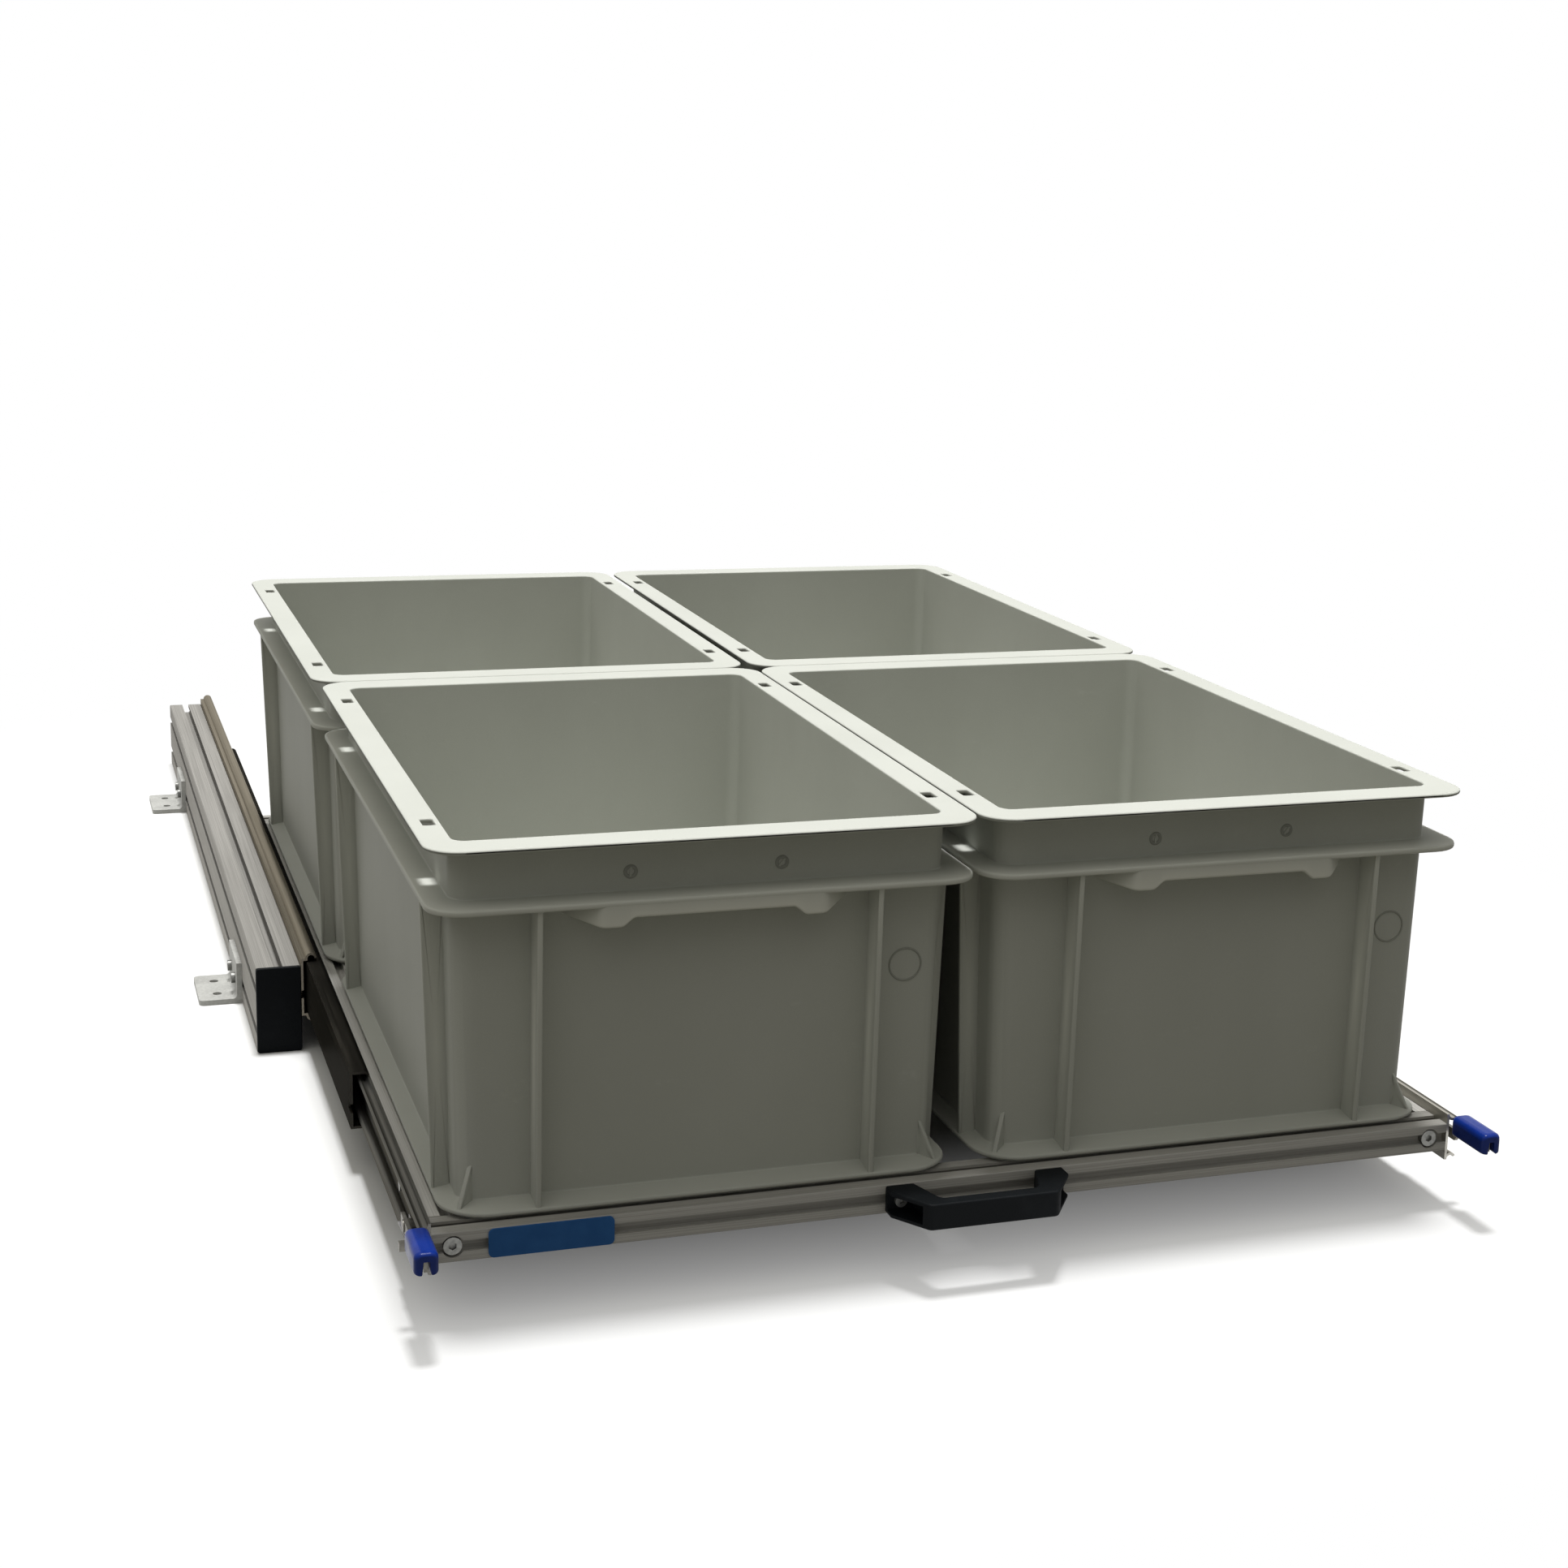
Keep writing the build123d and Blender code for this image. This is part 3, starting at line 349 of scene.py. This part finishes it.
def build_piece(name, points, faces, shares, material):
    """A piece at the origin, with its doubles merged, its faces turned outwards and its shading
    smooth. It keeps named numbers for each point, from nought to one."""
    mesh = bpy.data.meshes.new(name)
    mesh.from_pydata(points.tolist(), [], faces.tolist())
    for share, values in shares.items():
        mesh.attributes.new(share, "FLOAT", "POINT").data.foreach_set("value", values)
    work = bmesh.new()
    work.from_mesh(mesh)
    bmesh.ops.remove_doubles(work, verts=work.verts, dist=0.000001)
    bmesh.ops.dissolve_degenerate(work, edges=work.edges, dist=0.000001)
    bmesh.ops.recalc_face_normals(work, faces=work.faces)
    work.to_mesh(mesh)
    work.free()
    mesh.polygons.foreach_set("use_smooth", np.ones(len(mesh.polygons), bool))
    mesh.set_sharp_from_angle(angle=np.radians(50))
    mesh.materials.append(material)
    piece = bpy.data.objects.new(name, mesh)
    bpy.context.scene.collection.objects.link(piece)
    return piece


def slab(outline, thickness, edge, cut, origin, first, second):
    """A flat rib of a closed outline, which is drawn in round both faces along a quarter circle and
    then to its middle. The outline lies along two directions from an origin, and the rib is thick
    across them."""
    line = soften(np.asarray(outline, float), cut, hold=0.0002, steps=3, closed=True)
    ahead = np.roll(line, -1, axis=0) - line
    ahead = ahead / np.linalg.norm(ahead, axis=1, keepdims=True)
    behind = np.roll(ahead, 1, axis=0)
    area = np.sum(line[:, 0] * np.roll(line[:, 1], -1) - line[:, 1] * np.roll(line[:, 0], -1))
    inward = np.sign(area) * np.stack([-(ahead + behind)[:, 1], (ahead + behind)[:, 0]], axis=1)
    inward = inward / (1 + np.sum(ahead * behind, axis=1, keepdims=True))
    quarter = np.linspace(0, np.pi / 2, 4)
    draw = np.concatenate([[edge * 1.3], edge * (1 - np.sin(quarter))])
    rise = np.concatenate([[0], edge * (1 - np.cos(quarter))])
    draw = np.concatenate([draw, draw[::-1]])
    rise = np.concatenate([rise, thickness - rise[::-1]]) - thickness / 2
    flat = line[None] + inward[None] * draw[:, None, None]
    middle = np.broadcast_to(line.mean(axis=0), (1, *line.shape))
    flat = np.concatenate([middle, flat, middle])
    rise = np.concatenate([rise[:1], rise, rise[-1:]])
    first, second = np.asarray(first, float), np.asarray(second, float)
    across = np.cross(first, second)
    points = np.asarray(origin) + flat[..., :1] * first + flat[..., 1:] * second + rise[:, None, None] * across
    return points.reshape(-1, 3), net(*points.shape[:2]).reshape(-1, 4)


def close_ends(points):
    """Shuts both ends of a strip: its first and last rows are drawn in to their middles."""
    ends = [np.broadcast_to(points[[row]].mean(axis=1, keepdims=True), points[:1].shape) for row in (0, -1)]
    return np.concatenate([ends[0], points, ends[1]])


def spring_leaf(low, high, wall, free):
    """The leaf: a thin strip with round edges, carried straight back and down from its tip to the
    foot, which is a small plate on the slide's wall."""
    sheet = 0.0008
    edge = sheet / 2
    foot_half = 0.008, 0.0025
    foot = np.array([high[1] - foot_half[0], low[2] + foot_half[1]])
    back = np.linspace(0, 1, 31)[:, None]
    tip_z = high[2] - edge
    foot_z = foot[1] + foot_half[1] - 5 * edge
    mid_y = low[1] + back * (foot[0] - low[1])
    mid_z = tip_z + back * (foot_z - tip_z)
    turn = np.linspace(-np.pi / 2, np.pi / 2, 6)
    inside = wall + np.sign(free - wall) * edge
    reach = abs(free - inside) / 2 - edge
    across = np.concatenate([reach + edge * np.cos(turn), -reach - edge * np.cos(turn)])
    x = across + (free + inside) / 2
    z = edge * np.concatenate([np.sin(turn), np.sin(turn[::-1])])
    strip = close_ends(np.stack(np.broadcast_arrays(x, mid_y, mid_z + z), axis=2))
    plate = np.array(foot_half) * np.array([(-1, -1), (1, -1), (1, 1), (-1, 1)])
    plate_points, plate_faces = slab(plate, sheet, 0.0002, 0.001, (inside, *foot), (0, 1, 0), (0, 0, 1))
    rows, columns = strip.shape[:2]
    faces = np.concatenate([net(rows, columns).reshape(-1, 4), plate_faces + rows * columns])
    return np.concatenate([strip.reshape(-1, 3), plate_points]), faces


for side in sides:
    low, high = (np.array(end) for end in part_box(f"{side}_lever_spring"))
    wall, free = (high[0], low[0]) if side == "left" else (low[0], high[0])
    leaf = build_piece(f"{side}_lever_leaf", *spring_leaf(low, high, wall, free), {}, spring_grey)
    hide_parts(f"{side}_lever_spring")
    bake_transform(leaf)


def lever_hood(width, length, height, slot_depth):
    """The grip: an arch whose two legs end round, carried from front to back. Over a quarter circle
    at each end its section shrinks to a smaller arch, which a strip from outside to inside closes."""

    def arch(half, top, mouth, slot, cuts):
        right = np.array([(half, top), (half, 0), (mouth, 0), (slot, slot_depth)])
        outline = np.concatenate([right[1::-1] * (-1, 1), right, right[:1:-1] * (-1, 1)])
        return soften(outline, np.array(cuts)[[1, 0, 0, 1, 2, 3, 3, 2]], hold=0.0001, closed=True)

    full = arch(width / 2, height, 0.0026, 0.0018, (0.0055, 0.0024, 0.0022, 0.0009))
    small = arch(width / 2 - 0.0036, height - 0.0026, 0.0032, 0.0022, (0.0026, 0.0008, 0.0008, 0.0006))
    rounding = 0.0045
    turn = np.linspace(0, np.pi / 2, 7)
    share = np.concatenate([1 - np.sin(turn), 1 - np.cos(turn)])
    along = np.concatenate([rounding * (1 - np.cos(turn)), length - rounding * (1 - np.sin(turn))])
    section = full[None] + share[:, None, None] * (small - full)[None]
    points = np.stack(np.broadcast_arrays(section[..., 0], along[:, None], section[..., 1]), axis=2)
    rows, columns = points.shape[:2]
    outer = np.arange(columns // 2 - 1)
    strip = np.stack([outer, outer + 1, columns - 2 - outer, columns - 1 - outer], axis=1)
    faces = np.concatenate([net(rows, columns).reshape(-1, 4), strip, strip + (rows - 1) * columns])
    return points.reshape(-1, 3), faces


lever_blue = moulded_blue("lever_blue", (0.003, 0.018, 0.165, 1), (0.005, 0.028, 0.235, 1), 0.26, 0.06)
hood_slot_depth = 0.0095
for side in sides:
    low, high = (np.array(end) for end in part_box(f"{side}_lever_grip"))
    hood_points, hood_faces = lever_hood(*(high - low), hood_slot_depth)
    front = np.array([(low[0] + high[0]) / 2, low[1], low[2]])
    hood = build_piece(f"{side}_lever_hood", hood_points + front, hood_faces, {}, lever_blue)
    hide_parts(f"{side}_lever_grip")
    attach(hood, f"{side}_lever")

# Pull handle: a black bridge moulded in glass-filled nylon, with open pockets at its legs, held
# to the front bar by two screws. Its grain is the same as on the caps, and hands have worn it.

handle_black = grained_black("handle_black", (0.003, 0.004, 0.005, 1), (0.010, 0.012, 0.014, 1))
dress(handle_black, "pull_handle")

# Plate: a bare blue sheet with rounded corners, stuck over the slot of the front bar. It is
# plain plastic with a satin face, slightly uneven and finely scuffed.

plate_blue = moulded_blue("plate_blue", (0.022, 0.098, 0.29, 1), (0.028, 0.115, 0.33, 1), 0.42, 0.0)
dress(plate_blue, "front_plate")

# Stacking bins: four open boxes injection moulded in light silver-grey polypropylene, loose on
# the frame. Leaning walls, a flat rim with four holes, a second flange below a plain collar,
# ribs, corner fins, finger grips and a wide skirt, all with the soft edges of a mould.

bin_half_x = 0.200
bin_half_y = 0.300
bin_height = 0.270
wall_slope = np.tan(np.radians(1.0))
wall_thickness = 0.003
end_step = 0.0075
wall_corner = 0.015
cavity_corner = 0.010
rim_corner = 0.026
rim_width = 0.022
rim_underside = 0.267
flange_top = 0.228
flange_underside = 0.2235
flange_inset = 0.001
skirt_corner = 0.036
skirt_inset = 0.010
skirt_low = 0.003
skirt_high = 0.006
skirt_root = 0.0085
foot_inset = 0.015
foot_corner = 0.031
hole_x = 0.1863
hole_y = 0.215
hole_half = (0.0045, 0.009)
hole_cell = (0.0052, 0.0105)
hole_corner = 0.0018
end_rib_x = 0.123
side_rib_y = 0.233
fin_height = 0.034
plug_x = 0.055
plug_z = 0.2415


def wall_inset(height):
    """How far inside the rim's edge a side wall's outer face stands at a height: it leans by a
    degree. The end walls stand further in by one step at every height."""
    return rim_width - wall_thickness + wall_slope * (bin_height - height)


def hoops(rows, stations_x, stations_y, steps=8, hold=0.0008):
    """Rounded rectangles, one to a row of half width, half length, corner radius and height.
    Each has four quarter circles, and between them points at fixed stations along the sides,
    drawn in to where the corners begin."""
    half_x, half_y, radius, height = (rows[:, [column]] for column in range(4))
    turn = np.linspace(0, np.pi / 2, steps + 1)
    x_parts = []
    y_parts = []
    for quarter, (x_sign, y_sign) in enumerate(((1, 1), (-1, 1), (-1, -1), (1, -1))):
        angle = turn + quarter * np.pi / 2
        x_parts.append(x_sign * (half_x - radius) + radius * np.cos(angle))
        y_parts.append(y_sign * (half_y - radius) + radius * np.sin(angle))
        level = quarter % 2 == 0
        half, stations = (half_x, stations_x) if level else (half_y, stations_y)
        limit = np.maximum(half - radius - hold, 0)
        run = np.clip(np.concatenate([[-1], stations, [1]]), -limit, limit)
        forward = run if quarter > 1 else -run
        x_parts.append(forward if level else x_sign * half_x + 0 * run)
        y_parts.append(y_sign * half_y + 0 * run if level else forward)
    x = np.concatenate(x_parts, axis=1)
    y = np.concatenate(y_parts, axis=1)
    return np.stack([x, y, height + 0 * x], axis=2)


def bin_shell():
    """The moulding's wall: its section, carried round rounded rectangles from the middle of the
    floor up the inside, over the rim, down past the flange and skirt, and under to the middle.
    The faces where the rim's holes go are left out."""
    rim_share = bin_half_x - hole_x + np.array([1, -1]) * hole_cell[0]
    upper = cavity_corner + (rim_corner - cavity_corner) * (1 - rim_share / rim_width)
    lower = rim_corner - (rim_corner - wall_corner) * rim_share / wall_inset(rim_underside)
    upper_step = end_step * rim_share / rim_width
    lower_step = end_step * rim_share / wall_inset(rim_underside)
    floor_edge = wall_inset(wall_thickness) + wall_thickness
    section = np.array([
        [bin_half_x, wall_thickness, 0, 0, 0],
        [floor_edge, wall_thickness, cavity_corner, end_step, 0.005],
        [rim_width, bin_height, cavity_corner, end_step, 0.0012],
        [rim_share[0], bin_height, upper[0], upper_step[0], 0],
        [rim_share[1], bin_height, upper[1], upper_step[1], 0],
        [0, bin_height, rim_corner, 0, 0.0013],
        [0, rim_underside, rim_corner, 0, 0.0013],
        [rim_share[1], rim_underside, lower[1], lower_step[1], 0],
        [rim_share[0], rim_underside, lower[0], lower_step[0], 0],
        [wall_inset(rim_underside), rim_underside, wall_corner, end_step, 0],
        [wall_inset(flange_top), flange_top, wall_corner, end_step, 0.0008],
        [flange_inset, flange_top, rim_corner, 0, 0.0016],
        [flange_inset, flange_underside, rim_corner, 0, 0.0016],
        [wall_inset(flange_underside), flange_underside, wall_corner, end_step, 0.0008],
        [wall_inset(skirt_root), skirt_root, wall_corner, end_step, 0.0008],
        [skirt_inset, skirt_high, skirt_corner, 0, 0.0012],
        [skirt_inset, skirt_low, skirt_corner, 0, 0.0012],
        [foot_inset, skirt_low, foot_corner, 0, 0.0005],
        [foot_inset, 0, foot_corner, 0, 0.0008],
        [bin_half_x, 0, 0, 0, 0],
    ])
    inset, height, radius, step = soften(section[:, :4], section[1:-1, 4]).T
    rows = np.stack([bin_half_x - inset, bin_half_y - inset - step, radius, height], axis=1)
    near, far = hole_y - hole_cell[1], hole_y + hole_cell[1]
    points = hoops(rows, np.array([]), np.array([-far, -near, near, far]))
    faces = net(*points.shape[:2])
    middle = points.reshape(-1, 3)[faces].mean(axis=2)
    beside = np.abs(np.abs(middle[..., 0]) - hole_x) < hole_cell[0] - 0.0001
    abreast = np.abs(np.abs(middle[..., 1]) - hole_y) < hole_cell[1] - 0.0001
    rim_middle = (bin_height + rim_underside) / 2
    flat = np.abs(middle[..., 2] - rim_middle) > bin_height - rim_middle - 0.00001
    high = middle[..., 2] > rim_underside - 0.00001
    return points.reshape(-1, 3), faces[~(beside & abreast & flat & high)].reshape(-1, 4)


def rim_hole(x_sign, y_sign):
    """The lining of one hole: rounded rectangles from the edge of the gap in the rim's top in to
    the hole's rounded lip, down its sides and out again below."""
    edge = 0.0005
    lip = hole_half[0] + edge, hole_half[1] + edge, hole_corner + edge
    rows = np.array([
        [*hole_cell, 0, bin_height],
        [*lip, bin_height],
        [*hole_half, hole_corner, bin_height - edge],
        [*hole_half, hole_corner, rim_underside + edge],
        [*lip, rim_underside],
        [*hole_cell, 0, rim_underside],
    ])
    points = hoops(rows, np.array([]), np.array([]), steps=4, hold=0.0001)
    faces = net(*points.shape[:2]).reshape(-1, 4)
    return points.reshape(-1, 3) + np.array([x_sign * hole_x, y_sign * hole_y, 0]), faces


def wall_rib(half, step, place, thickness_axis, sign):
    """A rib from skirt to flange: its outer edge leans out a little, its root is in the wall."""
    top = flange_underside + 0.001
    root = half - step - 0.0015
    outline = [
        (half - skirt_inset - 0.001, skirt_low), (half - 0.004, top),
        (root - wall_inset(flange_underside), top), (root - wall_inset(skirt_low), skirt_low),
    ]
    outward = np.zeros(3)
    outward[1 - thickness_axis] = sign
    origin = np.zeros(3)
    origin[thickness_axis] = place
    return slab(outline, 0.004, 0.0011, 0.001, origin, outward, (0, 0, 1))


def corner_fin(x_sign, y_sign):
    """A fin from a wall corner out to the skirt's corner, falling away as it rises."""
    centre = bin_half_x - skirt_inset - skirt_corner, bin_half_y - skirt_inset - skirt_corner
    outline = [(0.035, skirt_low), (0.0197, fin_height), (0.0178, fin_height), (0.0172, skirt_low)]
    origin = x_sign * centre[0], y_sign * centre[1], 0
    outward = np.array([x_sign, y_sign, 0]) / np.sqrt(2)
    return slab(outline, 0.0035, 0.0007, 0.0002, origin, outward, (0, 0, 1))


def finger_grip(sign):
    """The lip that hangs from the flange at one end: a thin wall with a rounded lower edge, carried
    along a line that leaves the bin's wall, turns along the flange and comes back. It hangs
    lower at its ends than along the middle."""
    lip_y = bin_half_y - flange_inset - 0.002
    root = bin_half_y - end_step - wall_inset(flange_underside) - 0.0015
    half = np.array([
        [0.103, root, 0.009, 0], [0.080, lip_y, 0.0145, 0.0035], [0.066, lip_y, 0.0145, 0.0018],
        [0.058, lip_y, 0.0080, 0.0018],
    ])
    line = np.concatenate([half, half[::-1] * np.array([-1, 1, 1, 1])])
    line = soften(line[:, :3], line[1:-1, 3], steps=6)
    ahead = np.gradient(line[:, :2], axis=0)
    ahead = ahead / np.linalg.norm(ahead, axis=1, keepdims=True)
    turn = np.linspace(0, np.pi, 9)
    half_wall = 0.002
    offset = half_wall * np.concatenate([[1], np.cos(turn), [-1]])
    below = half_wall - half_wall * np.concatenate([[0], np.sin(turn), [0]])
    hang = np.concatenate([[0], np.ones(9), [0]])
    height = hang[None] * (below[None] - line[:, 2:]) + (1 - hang)[None] * 0.001
    x = line[:, :1] + ahead[:, 1:] * offset
    y = line[:, 1:2] - ahead[:, :1] * offset
    points = close_ends(np.stack([x, sign * y, flange_underside + height], axis=2))
    return points.reshape(-1, 3), net(*points.shape[:2]).reshape(-1, 4)


def mould_ring(x, z, radius, width, proud):
    """A thin raised ring left by an insert in the mould: a flattened torus, half sunk in the
    leaning front wall."""
    around = np.linspace(0, 2 * np.pi, 48, endpoint=False)[None]
    across = np.linspace(0, 2 * np.pi, 8, endpoint=False)[:, None]
    reach = radius + width * np.cos(across)
    high = z + reach * np.sin(around)
    front = wall_inset(high) + end_step - bin_half_y - proud * np.sin(across)
    points = np.stack([x + reach * np.cos(around), front, high], axis=2)
    return points.reshape(-1, 3), net(8, 48, round_rows=True).reshape(-1, 4)


def plug_slot(x, z, tilt):
    """The bar across a plug in the collar: a short rounded slab, turned by an angle."""
    outline = 0.0034 * np.array([(-1, -0.22), (1, -0.22), (1, 0.22), (-1, 0.22)])
    along = (np.cos(tilt), 0, np.sin(tilt))
    across = (-np.sin(tilt), 0, np.cos(tilt))
    front = wall_inset(z) + end_step - bin_half_y
    return slab(outline, 0.0020, 0.0003, 0.0003, (x, front, z), along, across)


def bin_moulding():
    """Every surface of one bin, standing on its foot at the origin, and which of its points are on
    the rings."""
    parts = [bin_shell()]
    for sign in (1, -1):
        for other in (1, -1):
            parts.append(rim_hole(sign, other))
            parts.append(wall_rib(bin_half_y, end_step, other * end_rib_x, 0, sign))
            parts.append(wall_rib(bin_half_x, 0, other * side_rib_y, 1, sign))
            parts.append(corner_fin(sign, other))
        parts.append(finger_grip(sign))
    for x, tilt in ((-plug_x, 1.5), (plug_x, 0.9)):
        parts.append(plug_slot(x, plug_z, tilt))
    clean = len(parts)
    parts.append(mould_ring(0.151, 0.158, 0.0122, 0.0008, 0.0008))
    for x in (-plug_x, plug_x):
        parts.append(mould_ring(x, plug_z, 0.0038, 0.0014, 0.0010))
    points = np.concatenate([part[0] for part in parts])
    starts = np.cumsum([0] + [len(part[0]) for part in parts[:-1]])
    faces = np.concatenate([part[1] + start for part, start in zip(parts, starts)])
    return points, faces, np.arange(len(points)) >= starts[clean]


def moulded_grey():
    """Polypropylene: a faint peel from the mould, slow flow marks, fine scuffs that are paler and
    duller, painted light that makes the bin paler where it stands proud of its walls, darker rings,
    and painted shade low on the skirt."""
    material, finish = new_material("bin_grey")
    flow = finish.cloud((9, 9, 5), detail=3.0)
    peel = finish.cloud((420, 420, 420), detail=2.0)
    speck = finish.cloud((1500, 1500, 1500), detail=1.0)
    scratch = finish.spread(finish.cloud((30, 420, 60), detail=5.0, roughness=0.75), 0.6, 0.8)
    tone = finish.spread(flow * 0.6 + speck * 0.4, 0.3, 0.7)
    grey = finish.blend(tone, (0.520, 0.532, 0.490, 1), (0.560, 0.572, 0.530, 1))
    # Painted light: the proud attribute makes the bin paler where it stands out past its walls.
    wear_and_painted_light = finish.node("Attribute", {"attribute_name": "proud"}, {}, out="Fac")
    paler = finish.blend(wear_and_painted_light * (0.7 + flow * 0.6), grey, (0.80, 0.805, 0.745, 1))
    # Darker on the rings, and painted shade low on the skirt outside the walls.
    rings_and_painted_shade = finish.node("Attribute", {"attribute_name": "rings_and_painted_shade"}, {}, out="Fac")
    marked = finish.blend(rings_and_painted_shade * 0.55, paler, (0.20, 0.20, 0.18, 1))
    finish.surface({
        "Base Color": finish.blend(scratch * 0.35, marked, (0.64, 0.65, 0.615, 1)),
        "Roughness": 0.46 + peel * 0.14 + scratch * 0.1,
        "Specular IOR Level": 0.06,
        "Normal": finish.relief(peel, 0.0002, 0.3),
    })
    return material


bin_grey = moulded_grey()
bin_points, bin_faces, on_rings = bin_moulding()
bin_x, bin_y, bin_z = bin_points.T
past_side = wall_inset(bin_z) - bin_half_x + np.abs(bin_x)
past_end = wall_inset(bin_z) + end_step - bin_half_y + np.abs(bin_y)
between = np.clip((bin_z - 0.009) / 0.006, 0, 1) * np.where(bin_z < flange_underside - 0.0005, 1, 0.35)
past_wall = np.maximum(past_side, past_end)
# Painted light: points on ribs, fins, lips, flange and skirt that stand out past the walls are marked to be paler.
bin_painted_light = between * np.clip((past_wall - 0.002) / 0.008, 0, 1) * (bin_z < rim_underside)
# The rings are darkened, and everything low on the skirt outside the walls a little, as painted shade.
bin_rings_and_painted_shade = np.where(on_rings, 1, 0.3 * (bin_z < 0.02) * (past_wall > -0.0015))
bin_shares = {"proud": bin_painted_light, "rings_and_painted_shade": bin_rings_and_painted_shade}
for corner in ("front_left", "front_right", "rear_left", "rear_right"):
    low, high = (np.array(end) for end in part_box(f"{corner}_bin"))
    foot = np.array([(low[0] + high[0]) / 2, (low[1] + high[1]) / 2, low[2]])
    moulding = build_piece(f"{corner}_bin_moulding", bin_points + foot, bin_faces, bin_shares, bin_grey)
    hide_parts(f"{corner}_bin")
    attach(moulding, f"{corner}_box")

# Studio: a pale floor that runs out into white round the drawer, one lamp nearly overhead and a
# little behind, a weak warm fill that is stronger from above and the left, and a camera low in
# front of the left corner.


def seen_directly(finish):
    """One for rays from the camera, a mirror or glass, which see the pale ground; else nought."""
    kinds = ("Camera", "Glossy", "Transmission")
    camera_ray, glossy, through = (finish.node("LightPath", {}, {}, out=f"Is {kind} Ray") for kind in kinds)
    return camera_ray.maths("MAXIMUM", camera_ray.maths("MAXIMUM", camera_ray, glossy), through)


floor_size = 30.0
floor_mesh = bpy.data.meshes.new("floor")
floor_grid = np.array([(-1, -1, 0), (1, -1, 0), (1, 1, 0), (-1, 1, 0)]) * floor_size
floor_mesh.from_pydata(floor_grid.tolist(), [], [(0, 1, 2, 3)])
floor = bpy.data.objects.new("floor", floor_mesh)
bpy.context.scene.collection.objects.link(floor)
floor_material, floor_finish = new_material("pale_floor")
floor_mesh.materials.append(floor_material)
bounce = (0.10, 0.096, 0.080, 1)
pale = floor_finish.blend(seen_directly(floor_finish), bounce, (0.80, 0.80, 0.80, 1))
ground = floor_finish.node("BsdfDiffuse", {}, {"Color": pale})
beyond = floor_finish.node("Emission", {}, {"Color": (1, 1, 1, 1), "Strength": 1.0})
hidden = floor_finish.node("BsdfDiffuse", {}, {"Color": bounce})
far_side = floor_finish.node("MixShader", {}, {0: seen_directly(floor_finish), 1: hidden, 2: beyond})
under_drawer = (0.38, 0.60, 0)
fade_width = 0.7
here = floor_finish.place((1, 1, 0))
from_middle = floor_finish.node("VectorMath", {"operation": "ABSOLUTE"}, {0: here})
past_drawer = floor_finish.node("VectorMath", {"operation": "SUBTRACT"}, {0: from_middle, 1: under_drawer})
outside = floor_finish.node("VectorMath", {"operation": "MAXIMUM"}, {0: past_drawer, 1: (0, 0, 0)})
distance = floor_finish.node("VectorMath", {"operation": "LENGTH"}, {0: outside}, out="Value")
fade = floor_finish.spread(distance, 0.0, fade_width)
floor_finish.node(
    "OutputMaterial", {}, {"Surface": floor_finish.node("MixShader", {}, {0: fade, 1: ground, 2: far_side})}
)

world = bpy.data.worlds.new("studio")
bpy.context.scene.world = world
air = Finish(world)
direct = seen_directly(air)
tint = air.blend(direct, (1, 0.985, 0.90, 1), (1, 1, 1, 1))
sky = air.node("TexCoord", {}, {}, out="Generated")
up_and_left = (-0.22, 0, 0.975)
rise = air.node("VectorMath", {"operation": "DOT_PRODUCT"}, {0: sky, 1: up_and_left}, out="Value")
fill = (0.149 + air.spread(rise, 0.45, 0.95) * 0.64) * (1 - direct) + direct
air.node("OutputWorld", {}, {"Surface": air.node("Background", {}, {"Color": tint, "Strength": fill})})

lamp_data = bpy.data.lights.new("overhead", "SUN")
lamp_data.energy = 3.35
lamp_data.angle = np.radians(9)
lamp = bpy.data.objects.new("overhead", lamp_data)
lamp.rotation_euler = (np.radians(-5.0), np.radians(2.0), 0)
bpy.context.scene.collection.objects.link(lamp)

yaw, pitch, roll = np.radians([19.530, 12.001, 1.659])
forward = np.array([np.sin(yaw) * np.cos(pitch), np.cos(yaw) * np.cos(pitch), -np.sin(pitch)])
level = np.array([np.cos(yaw), -np.sin(yaw), 0])
upward = np.cross(level, forward)
aim = np.eye(4)
aim[:3, 0] = np.cos(roll) * level + np.sin(roll) * upward
aim[:3, 1] = np.cos(roll) * upward - np.sin(roll) * level
aim[:3, 2] = -forward
camera_place = (-0.6521, -2.4819, 0.7778)
aim[:3, 3] = camera_place
camera_data = bpy.data.cameras.new("camera")
camera_data.sensor_fit = "HORIZONTAL"
camera_data.sensor_width = 36.0
camera_data.lens = 57.144
camera_data.shift_x = -0.0632
camera_data.shift_y = -0.0380
camera = bpy.data.objects.new("camera", camera_data)
camera.matrix_world = Matrix(aim.tolist())
bpy.context.scene.collection.objects.link(camera)
bpy.context.scene.camera = camera
bpy.context.scene.view_settings.view_transform = "Standard"
